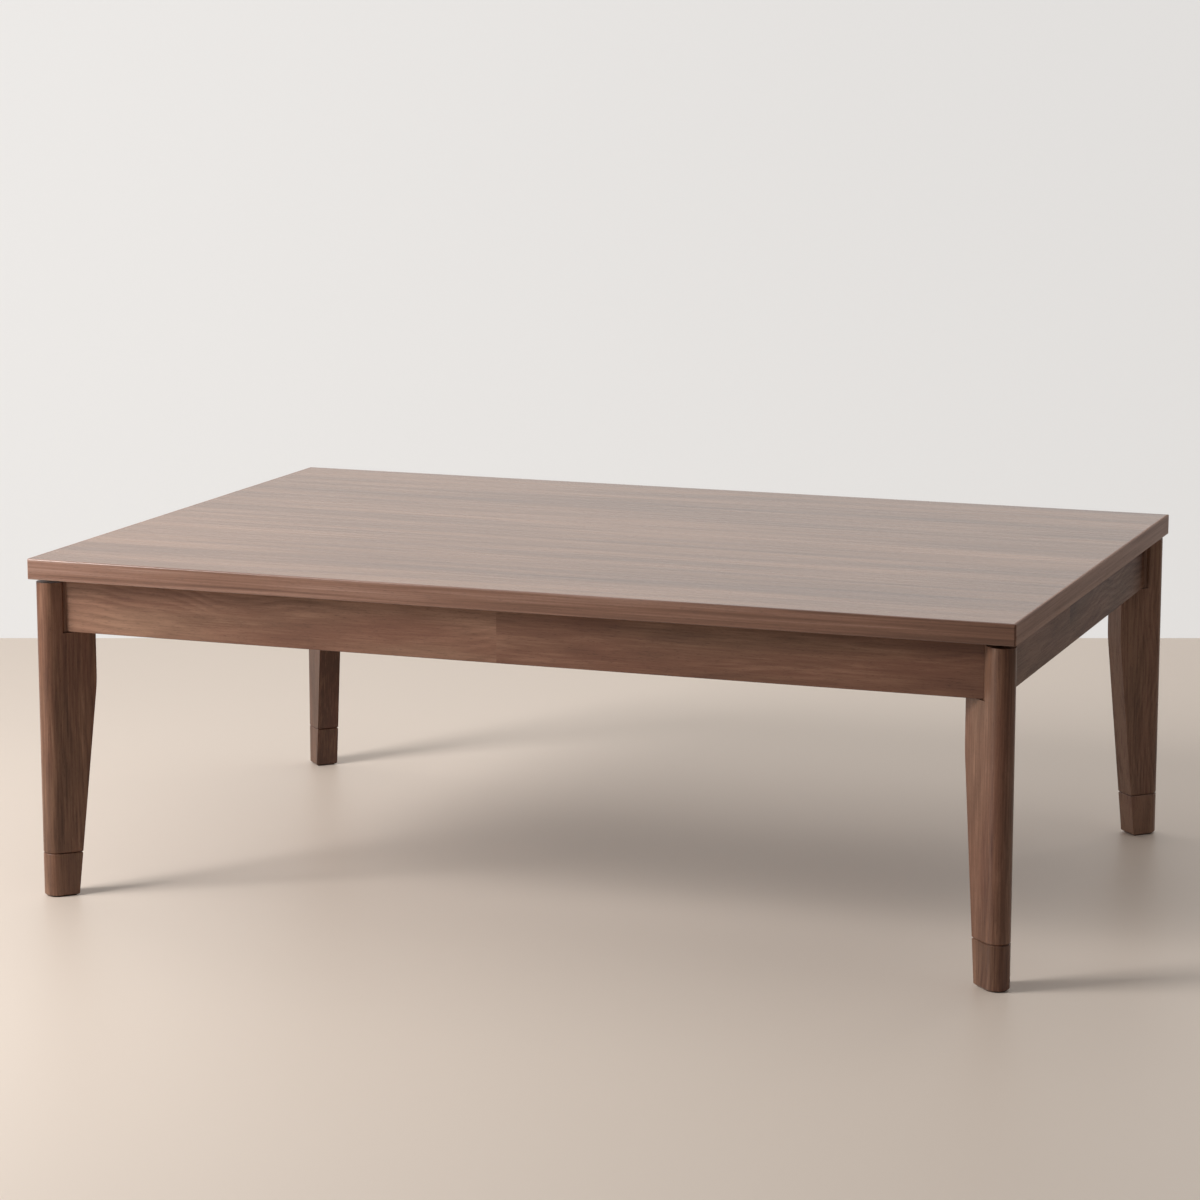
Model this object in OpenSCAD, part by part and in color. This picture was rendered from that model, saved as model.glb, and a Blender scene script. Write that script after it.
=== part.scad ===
// Kotatsu: a low table with a loose top, a heated frame and screw-on leg extensions.
// Millimetres. Origin on the floor under the middle of the table, +X along the long side,
// -Y towards the front and +Z up.
//
// A corner of the table is drawn once, as the front left one, in its own frame: origin on the
// tabletop's corner, +X and +Y inwards. A leg is drawn with its nose at the corner and its
// length running inwards along -X, then turned onto the corner's diagonal.

/* [Tabletop] */
// Length of the tabletop
top_l = 1200; // [1050:50:1500]
// Width of the tabletop
top_w = 800; // [700:50:900]
// Thickness of the tabletop
top_t = 25; // [20:1:32]
// Height of the table, extensions included
table_h = 413; // [390:1:450]
// Thickness of the face veneer
veneer_t = 0.8; // [0.5:0.1:1.5]
// Thickness of the backing sheet
backing_t = 0.8; // [0.5:0.1:1.5]
// Thickness of an edge band
band_t = 3; // [2:0.5:6]
// Easing of the tabletop's edges
edge_r = 1.8; // [0.5:0.1:2]
// Rounding of the tabletop's corners, seen from above
corner_r = 2.4; // [1:0.2:6]
// Gap under the resting tabletop
lift_gap = 0.3; // [0.2:0.05:0.4]

/* [Grip pads] */
// Diameter of a grip pad
grip_d = 14; // [8:1:16]
// Thickness of a grip pad
grip_t = 1.2; // [0.8:0.1:2]
// Distance of the outer grip pads from an apron's end
grip_end = 90; // [60:5:150]

/* [Aprons] */
// Distance of an apron's face behind the tabletop's edge
apron_inset = 22; // [16:1:30]
// Thickness of an apron
apron_t = 18; // [15:1:24]
// Height of an apron
apron_h = 63; // [54:1:75]
// Easing of an apron's long edges
apron_r = 1.5; // [0.5:0.25:3]

/* [Legs] */
// Thickness of a leg, across the diagonal
leg_w = 30; // [27:1:36]
// Length of a leg's section along the diagonal, above the taper
leg_l = 66.5; // [58:0.5:75]
// Length of the same section at the floor
foot_l = 38.5; // [30:0.5:46]
// Distance from the tabletop's corner to the leg's nose
leg_inset = 11.5; // [8:0.5:16]
// Gap between the leg's top and the tabletop
leg_drop = 4; // [2:0.5:8]
// Straight height of the leg below its shoulder
straight_h = 62; // [40:2:90]
// Height of the soft bend where the taper starts
bend_h = 24; // [8:2:60]
// Thickness of the tongue between two aprons
tenon_w = 25; // [22:0.5:26]
// Play between the tongue and an apron's mitred end
tenon_gap = 0.25; // [0.1:0.05:0.4]
// Width of the shadow gap between an apron's end and the leg
notch_gap = 3; // [1:0.5:4]
// Height of the shadow gap between an apron and the leg's shoulder
shoulder_gap = 1; // [1:0.5:6]
// Broken edge along the leg's inner corners
leg_edge = 1; // [0.5:0.1:1.5]

/* [Leg extensions] */
// Height of an extension
ext_h = 52; // [40:1:60]
// Broken edge on each side of the seam
seam_c = 1.1; // [0.5:0.1:1.5]
// Broken edge under the foot
foot_c = 1.5; // [0.5:0.1:3]
// Gap in the seam
seam_gap = 0.3; // [0.2:0.05:0.4]
// Distance of the hanger bolt from the leg's nose
ext_axis = 19; // [17:0.5:21]
// Length of hanger bolt inside the extension
hanger_low = 32; // [20:1:36]
// Length of hanger bolt inside the leg
hanger_up = 22; // [16:1:28]
// Thickness of the felt pad under a foot
pad_t = 1.5; // [1:0.1:3]
// Distance of the felt pad's rim inside the foot's rim
pad_rim = 3; // [2:0.5:5]

/* [Corner plates and leg bolts] */
// Thickness of a corner plate
plate_t = 2; // [1.5:0.25:3]
// Height of a corner plate
plate_h = 50; // [46:1:52]
// Length of a corner plate's wing
wing_l = 42; // [36:1:50]
// Play between a corner plate and the leg
plate_gap = 0.2; // [0.1:0.05:0.3]
// Radius of a leg bolt and of a hanger bolt
bolt_r = 3.9; // [3:0.1:4]
// Running clearance of a bolt in its insert
bolt_fit = 0.08; // [0.05:0.01:0.1]
// Distance between the two bolts of a leg
bolt_pitch = 26; // [22:1:30]
// Length of bolt inside the leg
bolt_in = 28; // [20:1:34]
// Height of a bolt's hexagonal head
bolt_head_h = 5.5; // [4:0.5:7]
// Width of a bolt's head across its corners
bolt_head_d = 15; // [13:0.5:16]
// Diameter of a washer
washer_d = 18; // [16:0.5:22]
// Thickness of a washer
washer_t = 1.6; // [1:0.1:2.5]
// Radius of a threaded insert
insert_r = 6; // [5:0.25:7]
// Length of a threaded insert
insert_l = 20; // [12:1:24]
// Play of an insert in the wood
insert_fit = 0.1; // [0.05:0.05:0.2]
// Shank radius of the plate screws
screw_r = 2; // [1.5:0.1:2.5]
// Head radius of the plate screws
screw_head_r = 4; // [3:0.25:5]
// Head height of the plate screws
screw_head_h = 2.4; // [1.5:0.1:3]
// Straight share of a screw head's height, under its crown
head_straight = 0.6; // [0.3:0.05:0.8]
// Share of a screw head's radius at its crown
head_crown = 0.75; // [0.6:0.05:0.9]
// Share of a screw head's radius taken by its driver slot
head_slot = 0.25; // [0.15:0.05:0.35]
// Length of screw inside the apron
screw_in = 13; // [8:1:14]
// Play of a screw in its hole
screw_fit = 0.1; // [0.05:0.05:0.2]
// Distance between the screws of a wing, upwards
screw_pitch = 26; // [20:1:30]
// Distance between the screws of a wing, along the apron
screw_step = 13; // [11:1:18]

/* [Rails] */
// Width of a rail
rail_w = 22; // [18:1:30]
// Height of a rail
rail_h = 30; // [26:1:36]
// Gap between the rails and the heater's case
rail_gap = 5; // [3:0.5:8]
// Easing of the rails' long edges
rail_r = 1; // [0.5:0.25:2]
// Radius of a dowel
dowel_r = 4; // [3:0.25:4.5]
// Length of dowel in each piece
dowel_in = 12; // [8:1:13]
// Distance between two dowels
dowel_pitch = 14; // [12:1:16]
// Play at a dowel's ends and side
dowel_fit = 0.1; // [0.05:0.05:0.2]

/* [Heater case] */
// Distance from the reflector's rim to the case's outer face
case_margin = 13; // [8:0.5:16]
// Sheet thickness of the case
case_t = 1.2; // [0.8:0.1:2]
// Corner radius of the case
case_r = 16; // [8:1:24]
// Depth of the case below the rails
case_drop = 28; // [27:1:30]
// Gap between the case and the tabletop's underside level
case_top_gap = 6; // [4:1:10]
// Reach of the mounting flange under the rails
flange_in = 13; // [11:0.5:15]
// Width of the lip around the case's mouth
lip_w = 13; // [11:0.5:15]
// Width of a vent slot
vent_w = 3; // [2:0.5:4]
// Distance between vent slots
vent_pitch = 9; // [7:0.5:12]
// Plain wall at each end of a row of vents
vent_end = 35; // [20:1:60]
// Thickness of the insulation board
board_t = 3; // [2:0.5:5]
// Play between the insulation board and the case's walls
board_play = 1; // [0.5:0.25:3]
// Corner radius of the case's mouth and of the guard's inner rim
mouth_r = 8; // [4:1:12]

/* [Reflector and tubes] */
// Sheet thickness of the reflector
reflector_t = 0.8; // [0.6:0.1:1.2]
// Splay of the reflector's walls, from roof to rim
splay = 14; // [12:0.5:20]
// Roof of the reflector past the ceramic caps
roof_end = 4; // [3:0.5:8]
// Height of the reflector
reflector_h = 32; // [30:0.5:33]
// Radius of a quartz tube
tube_r = 6; // [5:0.25:7]
// Wall of a quartz tube
tube_t = 1; // [0.8:0.1:1.5]
// Length of a quartz tube
tube_l = 208; // [180:2:212]
// Distance of each tube from the middle
tube_y = 50; // [36:1:70]
// Depth of the tubes' axis under the reflector's roof
tube_drop = 15; // [13:0.5:16]
// Play around a tube in its cap, and a cap in its bracket
tube_fit = 0.1; // [0.05:0.05:0.2]
// Radius of a heating coil
coil_r = 2.6; // [1.5:0.1:3.5]
// Radius of a ceramic cap
cap_r = 8; // [7.5:0.25:9]
// Length of a ceramic cap
cap_l = 18; // [14:1:20]
// Depth of a tube in its cap
cap_in = 8; // [5:1:10]
// Thickness of a tube bracket
bracket_t = 1.5; // [1:0.1:2]
// Length of a tube bracket past the caps
bracket_end = 12; // [8:1:20]

/* [Electric parts] */
// Radius of the thermostat
thermostat_r = 9; // [7:0.5:12]
// Height of the thermostat
thermostat_h = 9; // [7:0.5:11]
// Radius of the thermostat's foot
thermostat_foot_r = 11; // [10:0.5:14]
// Thickness of the thermostat's foot
thermostat_foot_h = 1.5; // [1:0.25:2.5]
// Radius of the thermal fuse
fuse_r = 2.5; // [2:0.1:3]
// Length of the thermal fuse
fuse_l = 24; // [16:1:30]
// Distance of the thermostat and of the fuse from the middle line
control_x = 45; // [36:1:60]
// Distance of the thermostat and the fuse behind the middle
control_y = 20; // [10:1:30]
// Length of the terminal block
terminal_l = 44; // [36:1:60]
// Width of the terminal block
terminal_w = 16; // [12:1:20]
// Height of the terminal block
terminal_h = 10; // [8:0.5:12]
// Radius of the terminal block's screw wells
terminal_hole_r = 3; // [2:0.25:4]
// Depth of the terminal block's screw wells
terminal_hole_h = 3; // [2:0.25:4]
// Distance from the reflector's roof edge to the terminal block
terminal_end = 8; // [5:1:15]
// Radius of an inner lead
lead_r = 1.1; // [0.8:0.1:1.4]
// Radius of a lead's hole in the reflector
lead_hole_r = 2.2; // [1.8:0.1:3]
// Height of the leads above the reflector's roof
lead_up = 5; // [4:0.5:6]
// Distance of a lead and a pin from the middle line
pin_x = 8; // [6:0.5:10]
// Radius of an inlet pin
pin_r = 2.2; // [1.8:0.1:2.5]
// Length of an inlet pin
pin_l = 14; // [10:1:16]
// Width of the inlet's housing
inlet_w = 46; // [40:1:54]
// Height of the inlet's housing
inlet_h = 18; // [16:1:19]
// Reach of the inlet's housing out of the case
inlet_out = 21; // [18:1:24]
// Reach of the inlet's housing into the case
inlet_in = 8; // [6:0.5:9]
// Wall of the inlet's housing
inlet_t = 3; // [2:0.25:4]
// Back wall of the inlet's housing
inlet_back = 9; // [6:1:12]

/* [Guard] */
// Width of the guard's ring
ring_w = 9; // [8:0.5:10]
// Gap between the guard's rim and the case's rim
ring_inset = 4; // [2:0.5:5]
// Radius of a guard wire
wire_r = 1; // [0.8:0.1:1.3]
// Distance between guard wires
wire_pitch = 12.5; // [10:0.5:15]
// Distance between the cross wires
cross_pitch = 66; // [50:1:80]
// Depth of the welds between the wires
weld = 0.25; // [0.15:0.05:0.4]
// Radius of the small screws of guard and case
small_r = 1.5; // [1.2:0.1:2]
// Head radius of the small screws
small_head_r = 3; // [2.5:0.1:3.5]
// Head height of the small screws
small_head_h = 1.6; // [1:0.1:2]
// Length of a guard screw
guard_screw_l = 7; // [5:0.5:9]
// Length of a case screw inside the rail
case_screw_in = 16; // [10:1:20]
// Distance of the guard's screws from the case's corners
guard_screw_end = 45; // [35:1:60]
// Distance of the case's screws from the opening's corners
case_screw_end = 45; // [35:1:60]

/* [Hidden] */

$fn = 96;
eps = 1;                  // how far a cutting shape runs past what it cuts
bend_steps = 8;           // flats along the bend of a leg
r2 = sqrt(2);
BOTH = [-1, 1];

// heights
underside = table_h - top_t;
frame_top = underside - lift_gap - grip_t;
apron_z = frame_top - apron_h;
shoulder_z = apron_z - shoulder_gap;
leg_top = underside - leg_drop;
taper_z = shoulder_z - straight_h;
seam_z = pad_t + ext_h;
leg_z = seam_z + seam_gap;
rail_z = frame_top - rail_h;
case_z = rail_z - case_drop;
case_top = frame_top - case_top_gap;

// plan of a corner
apron_back = apron_inset + apron_t;
apron_end = apron_inset + r2 * (tenon_w / 2 + tenon_gap);
notch_wall = apron_end - notch_gap;
leg_end = leg_inset + leg_l;
leg_half = leg_w / 2;
taper = (leg_l - foot_l) / taper_z;
plate_u = leg_end + plate_gap;
plate_sum = r2 * plate_u;              // x + y on the plate's face towards the leg
plate_bend = plate_sum - apron_back;   // where the plate bends onto an apron

// frame and heater
bolt_z = apron_z + apron_h / 2;
inner_w = top_w - 2 * apron_back;
insert_bore = bolt_r + bolt_fit;
cap_start = tube_l / 2 - cap_in;
cap_mid = cap_start + cap_l / 2;
roof_w = 2 * (cap_start + cap_l + roof_end);
reflector_w = roof_w + 2 * splay;
case_w = reflector_w + 2 * case_margin;
case_in = case_w - 2 * case_t;
opening_w = case_w + 2 * rail_gap;
rail_x = (opening_w + rail_w) / 2;
flange_w = opening_w + 2 * flange_in;
lip_top = case_z + case_t;
roof_top = lip_top + reflector_h;
roof_under = roof_top - reflector_t;
tube_z = roof_under - tube_drop;
lead_z = roof_top + lead_up;
inlet_z = (rail_z - case_t + case_z) / 2;
inlet_mouth = case_w / 2 + inlet_out;
inlet_inner = case_w / 2 - inlet_in;
ring_outer = case_w - 2 * ring_inset;
ring_mid = (ring_outer - ring_w) / 2;
wire_z = case_z - case_t - wire_r + weld;
cross_z = wire_z + 2 * wire_r - weld;
terminal_y = roof_w / 2 - terminal_end - terminal_w;
riser_y = (inlet_inner + reflector_w / 2) / 2;
mouth_w = case_in - 2 * lip_w;
wire_last = floor((mouth_w / 2 - 2 * wire_r) / wire_pitch);
vent_last = floor((case_w / 2 - case_r - vent_end) / vent_pitch);

// Turns the front left corner onto the corner with the signs sx and sy
module at_corner(sx, sy) {
    mirror([sx > 0 ? 1 : 0, 0, 0])
        mirror([0, sy > 0 ? 1 : 0, 0])
            translate([-top_l / 2, -top_w / 2, 0]) children();
}

module each_corner() {
    for (sx = BOTH, sy = BOTH) at_corner(sx, sy) children();
}

// Turns a leg's own frame, nose outwards along +X, onto the corner's diagonal
module on_diagonal() {
    rotate(225) children();
}

// A rectangle with round corners, centred
module rounded(w, h, r) {
    square([w - 2 * r, h], center = true);
    square([w, h - 2 * r], center = true);
    for (sx = BOTH, sy = BOTH) translate([sx * (w / 2 - r), sy * (h / 2 - r)]) circle(r);
}

// A rounded frame of sheet: outer width, inner width, thickness
module ring(outer, inner, h, r_out, r_in) {
    difference() {
        linear_extrude(h) rounded(outer, outer, r_out);
        translate([0, 0, -eps]) linear_extrude(h + 2 * eps) rounded(inner, inner, r_in);
    }
}

// A bar of length l along X, centred on its axis
module bar(l, w, h, r) {
    rotate([90, 0, 90]) linear_extrude(l, center = true) rounded(w, h, r);
}

// A cylinder along +X from the origin
module pin_x_axis(h, r) {
    rotate([0, 90, 0]) cylinder(h = h, r = r);
}

// ---------------------------------------------------------------- tabletop

// The whole tabletop as one blank, with eased edges all round
module top_blank() {
    intersection() {
        linear_extrude(top_t) rounded(top_l, top_w, corner_r);
        translate([0, 0, top_t / 2]) bar(top_l + eps, top_w, top_t, edge_r);
        translate([0, 0, top_t / 2]) rotate(90) bar(top_w + eps, top_l, top_t, edge_r);
    }
}

// A layer of the panel inside the edge bands, from height z0 to z1 in the tabletop
module top_layer(z0, z1) {
    translate([0, 0, underside + (z0 + z1) / 2])
        cube([top_l - 2 * band_t, top_w - 2 * band_t, z1 - z0], center = true);
}

module top_core() {
    color("burlywood") top_layer(backing_t, top_t - veneer_t);
}

module top_veneer() {
    color([0.50, 0.39, 0.31]) top_layer(top_t - veneer_t, top_t);
}

module top_backing() {
    color([0.36, 0.28, 0.23]) top_layer(0, backing_t);
}

// The edge band on the side at distance reach from the middle, mitred at both ends
module edge_band(angle, reach, across) {
    color([0.45, 0.32, 0.25])
        translate([0, 0, underside])
            intersection() {
                top_blank();
                rotate(angle) translate([0, 0, -eps]) linear_extrude(top_t + 2 * eps)
                    polygon([
                        [-across - eps, -reach - eps], [across + eps, -reach - eps],
                        [across - band_t, -reach + band_t], [-across + band_t, -reach + band_t]]);
            }
}

module grip_pad_row(span) {
    for (s = BOTH) translate([s * (span / 2 - apron_end - grip_end), 0, 0]) cylinder(h = grip_t, d = grip_d);
}

// Rubber pads on the aprons' top edges, which keep the loose top from sliding
module grip_pads() {
    color("dimgray")
        translate([0, 0, frame_top]) {
            for (s = BOTH) translate([0, s * (top_w / 2 - apron_inset - apron_t / 2), 0]) grip_pad_row(top_l);
            for (s = BOTH)
                translate([s * (top_l / 2 - apron_inset - apron_t / 2), 0, 0]) rotate(90) grip_pad_row(top_w);
        }
}

// ---------------------------------------------------------------- legs

// Distance from the tabletop's corner to the leg's inner end at height z. The straight part runs
// over into the taper through a parabola of height bend_h.
function inner_end(z) =
    let (below = taper_z + bend_h / 2 - z)
    leg_end - taper * (below < 0 ? 0 : below < bend_h ? below * below / (2 * bend_h) : below - bend_h / 2);

// The heights between z0 and z1 at which the inner end changes its slope
function bend_heights(z0, z1) = [
    for (i = [0 : bend_steps])
        let (z = taper_z + bend_h * (i / bend_steps - 0.5))
        if (z > z0 && z < z1) z];

// All that the broken edge on side s of the inner end leaves of a leg, from z0 to z1. Seen along
// the broken edge's flat, the edge is one line that follows the inner end.
module broken_edge(z0, z1, s) {
    rotate([90, 0, 45 * s]) linear_extrude(4 * leg_l, center = true)
        polygon(concat(
            [[leg_l, z0]],
            [for (z = concat([z0], bend_heights(z0, z1), [z1]))
                [(leg_edge - leg_half - inner_end(z)) / r2, z]],
            [[leg_l, z1]]));
}

// A stretch of leg between two heights, with its lower and upper rims broken by c0 and c1
module blade(z0, z1, c0, c1) {
    intersection() {
        union() {
            translate([-leg_inset - leg_half, 0, 0]) rotate_extrude()
                polygon([
                    [0, z0], [leg_half - c0, z0], [leg_half, z0 + c0],
                    [leg_half, z1 - c1], [leg_half - c1, z1], [0, z1]]);
            translate([-leg_end - eps, 0, 0])
                rotate([90, 0, 90]) linear_extrude(leg_l + eps - leg_half)
                    polygon([
                        [c0 - leg_half, z0], [leg_half - c0, z0], [leg_half, z0 + c0],
                        [leg_half, z1 - c1], [leg_half - c1, z1], [c1 - leg_half, z1],
                        [-leg_half, z1 - c1], [-leg_half, z0 + c0]]);
        }
        rotate([90, 0, 0]) linear_extrude(leg_w + 2 * eps, center = true)
            polygon(concat(
                [[0, z0], [c0 - inner_end(z0 + c0), z0]],
                [for (z = concat([z0 + c0], bend_heights(z0, z1), [z1 - c1])) [-inner_end(z), z]],
                [[c1 - inner_end(z1 - c1), z1], [0, z1]]));
        for (s = BOTH) broken_edge(z0, z1, s);
    }
}

// Room for an apron's end on one side of the tongue, from the shoulder upwards
module apron_notch() {
    wide = 2 * leg_w;
    translate([0, 0, shoulder_z]) linear_extrude(table_h)
        polygon([
            [tenon_w / 2 - r2 * notch_wall, tenon_w / 2], [wide - r2 * notch_wall, wide],
            [-leg_end - wide, wide], [-leg_end - wide, tenon_w / 2]]);
}

// Puts its children at both leg bolts, on the leg's inner end, pointing to the nose
module at_leg_bolts() {
    for (s = BOTH) translate([-leg_end, 0, bolt_z + s * bolt_pitch / 2]) children();
}

module leg() {
    color([0.42, 0.30, 0.23])
        on_diagonal() difference() {
            blade(leg_z, leg_top, seam_c, 0);
            apron_notch();
            mirror([0, 1, 0]) apron_notch();
            at_leg_bolts() {
                translate([-eps, 0, 0]) pin_x_axis(insert_l + eps, insert_r + insert_fit);
                pin_x_axis(bolt_in + eps, insert_bore);
            }
            translate([-leg_inset - ext_axis, 0, leg_z]) {
                translate([0, 0, -eps]) cylinder(h = insert_l + eps, r = insert_r + insert_fit);
                cylinder(h = hanger_up + 2 * eps, r = insert_bore);
            }
        }
}

// A threaded insert, as a plain sleeve along +Z
module insert() {
    difference() {
        cylinder(h = insert_l, r = insert_r);
        translate([0, 0, -eps]) cylinder(h = insert_l + 2 * eps, r = insert_bore);
    }
}

module leg_inserts() {
    color("goldenrod") each_corner() on_diagonal() at_leg_bolts() rotate([0, 90, 0]) insert();
}

module foot_inserts() {
    color("goldenrod") each_corner() on_diagonal() translate([-leg_inset - ext_axis, 0, leg_z]) insert();
}

// ---------------------------------------------------------------- leg extensions

module extension() {
    color([0.42, 0.30, 0.23])
        on_diagonal() difference() {
            blade(pad_t, seam_z, foot_c, seam_c);
            translate([-leg_inset - ext_axis, 0, seam_z - hanger_low])
                cylinder(h = hanger_low + eps, r = bolt_r);
        }
}

module hanger_bolt() {
    color("silver")
        on_diagonal() translate([-leg_inset - ext_axis, 0, seam_z - hanger_low])
            cylinder(h = hanger_low + seam_gap + hanger_up, r = bolt_r);
}

// Felt pad of the foot's own outline, a little smaller all round
module foot_pad() {
    r = leg_half - pad_rim;
    color("saddlebrown")
        on_diagonal() linear_extrude(pad_t) union() {
            translate([-leg_inset - leg_half, 0]) circle(r);
            translate([-inner_end(0) + pad_rim, -r]) square([foot_l - leg_half - pad_rim, 2 * r]);
        }
}

// ---------------------------------------------------------------- aprons and corner plates

// Puts its children at a wing's screws, on the apron's inner face, for an apron along X
module at_wing_screws() {
    for (s = BOTH, t = BOTH)
        translate([plate_bend + (wing_l + t * screw_step) / 2, apron_back, bolt_z + s * screw_pitch / 2])
            children();
}

// An apron along X: its outer face on y = 0, its ends mitred to clear the legs' tongues
module apron(span) {
    half = span / 2 - apron_end;
    color([0.43, 0.31, 0.24])
        translate([0, 0, apron_z]) difference() {
            intersection() {
                translate([0, apron_t / 2, apron_h / 2]) bar(span, apron_t, apron_h, apron_r);
                translate([0, 0, -eps]) linear_extrude(apron_h + 2 * eps)
                    polygon([
                        [-half - eps, -eps], [half + eps, -eps],
                        [half - apron_t - eps, apron_t + eps], [eps + apron_t - half, apron_t + eps]]);
            }
            for (s = BOTH) mirror([s > 0 ? 1 : 0, 0, 0]) translate([-span / 2, -apron_inset, -apron_z])
                at_wing_screws() rotate([90, 0, 0]) translate([0, 0, -eps])
                    cylinder(h = screw_in + eps, r = screw_r + screw_fit);
        }
}

// A long apron has dowel holes for the cross rails
module long_apron() {
    difference() {
        apron(top_l);
        for (s = BOTH) translate([s * rail_x, apron_t, 0]) at_dowels() rotate([90, 0, 0])
            translate([0, 0, -eps]) cylinder(h = dowel_in + dowel_fit + eps, r = dowel_r + dowel_fit);
    }
}

module apron_front() {
    translate([0, apron_inset - top_w / 2, 0]) long_apron();
}

module apron_back() {
    rotate(180) apron_front();
}

module apron_left() {
    rotate(-90) translate([0, apron_inset - top_l / 2, 0]) apron(top_w);
}

module apron_right() {
    rotate(180) apron_left();
}

// Bent sheet: a middle against the leg's tongue, and a wing along each apron
module corner_plate() {
    b = apron_back;
    far = plate_bend + wing_l;
    bend = plate_sum + r2 * plate_t - b - plate_t;
    color("silver")
        difference() {
            translate([0, 0, bolt_z - plate_h / 2]) linear_extrude(plate_h)
                polygon([
                    [far, b], [plate_bend, b], [b, plate_bend], [b, far],
                    [b + plate_t, far], [b + plate_t, bend], [bend, b + plate_t], [far, b + plate_t]]);
            on_diagonal() at_leg_bolts() translate([-leg_l, 0, 0]) pin_x_axis(leg_l, insert_bore + screw_fit);
            for (flip = [0, 1]) mirror([flip, -flip, 0]) at_wing_screws() rotate([-90, 0, 0])
                translate([0, 0, -eps]) cylinder(h = plate_t + 2 * eps, r = screw_r + screw_fit);
        }
}

// A cross-slot screw along +Z: head above the origin's plane, shank below it
module cross_screw(r, l, head_r, head_h) {
    rim = head_h * head_straight;
    translate([0, 0, -l]) cylinder(h = l, r = r);
    difference() {
        union() {
            cylinder(h = rim, r = head_r);
            translate([0, 0, rim]) cylinder(h = head_h - rim, r1 = head_r, r2 = head_r * head_crown);
        }
        for (a = [0, 90]) rotate(a) translate([0, 0, head_h])
            cube([head_r, head_r * head_slot, head_h], center = true);
    }
}

module plate_screws() {
    color("silver")
        each_corner() for (flip = [0, 1]) mirror([flip, -flip, 0]) at_wing_screws()
            translate([0, plate_t, 0]) rotate([-90, 0, 0])
                cross_screw(screw_r, screw_in + plate_t, screw_head_r, screw_head_h);
}

// Puts its children on a corner plate's inner face at both bolts, pointing to the nose
module on_plate() {
    each_corner() on_diagonal() at_leg_bolts()
        translate([-plate_gap - plate_t, 0, 0]) rotate([0, 90, 0]) children();
}

module leg_bolts() {
    color("silver")
        on_plate() {
            translate([0, 0, -washer_t - bolt_head_h]) cylinder(h = bolt_head_h, d = bolt_head_d, $fn = 6);
            translate([0, 0, -washer_t]) cylinder(h = washer_t + plate_t + plate_gap + bolt_in, r = bolt_r);
        }
}

module leg_bolt_washers() {
    color("silver")
        on_plate() translate([0, 0, -washer_t]) difference() {
            cylinder(h = washer_t, d = washer_d);
            translate([0, 0, -eps]) cylinder(h = washer_t + 2 * eps, r = bolt_r + screw_fit);
        }
}

// ---------------------------------------------------------------- rails

// Puts its children at a rail end's two dowels
module at_dowels() {
    for (s = BOTH) translate([0, 0, rail_z + rail_h / 2 + s * dowel_pitch / 2]) children();
}

// Holes for a pair of dowels, along +X from the origin
module dowel_holes() {
    at_dowels() translate([-eps, 0, 0]) pin_x_axis(dowel_in + dowel_fit + eps, dowel_r + dowel_fit);
}

// A rail along X between two faces that lie l apart, doweled at both ends
module rail(l) {
    color("peru")
        difference() {
            translate([0, 0, rail_z + rail_h / 2]) bar(l, rail_w, rail_h, rail_r);
            for (s = BOTH) mirror([s > 0 ? 1 : 0, 0, 0]) translate([-l / 2, 0, 0]) dowel_holes();
        }
}

module cross_rail_left() {
    difference() {
        translate([-rail_x, 0, 0]) rotate(90) rail(inner_w);
        for (s = BOTH) translate([-opening_w / 2, s * rail_x, 0]) mirror([1, 0, 0]) dowel_holes();
        case_screw_holes();
    }
}

module cross_rail_right() {
    mirror([1, 0, 0]) cross_rail_left();
}

module heater_rail_front() {
    translate([0, -rail_x, 0]) rail(opening_w);
}

module heater_rail_back() {
    translate([0, rail_x, 0]) rail(opening_w);
}

module rail_dowels() {
    color("wheat") {
        for (sx = BOTH, sy = BOTH) {
            translate([sx * rail_x, sy * inner_w / 2, 0]) at_dowels()
                rotate([90, 0, 0]) cylinder(h = 2 * dowel_in, r = dowel_r, center = true);
            translate([sx * opening_w / 2, sy * rail_x, 0]) at_dowels()
                rotate([0, 90, 0]) cylinder(h = 2 * dowel_in, r = dowel_r, center = true);
        }
    }
}

// ---------------------------------------------------------------- heater

// Puts its children at the screws that hold the case under the cross rails
module at_case_screws() {
    for (sx = BOTH, sy = BOTH)
        translate([sx * (opening_w + flange_in) / 2, sy * (opening_w / 2 - case_screw_end), rail_z - case_t])
            children();
}

module case_screw_holes() {
    at_case_screws() translate([0, 0, -eps])
        cylinder(h = case_t + case_screw_in + 2 * eps, r = screw_r + screw_fit);
}

// Puts its children at the screws of the guard, under its ring
module at_guard_screws() {
    for (sx = BOTH, sy = BOTH)
        translate([sx * (case_w / 2 - guard_screw_end), sy * ring_mid, case_z - case_t]) children();
}

module guard_screw_holes() {
    at_guard_screws() translate([0, 0, -eps]) cylinder(h = guard_screw_l + eps, r = small_r + screw_fit);
}

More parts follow.
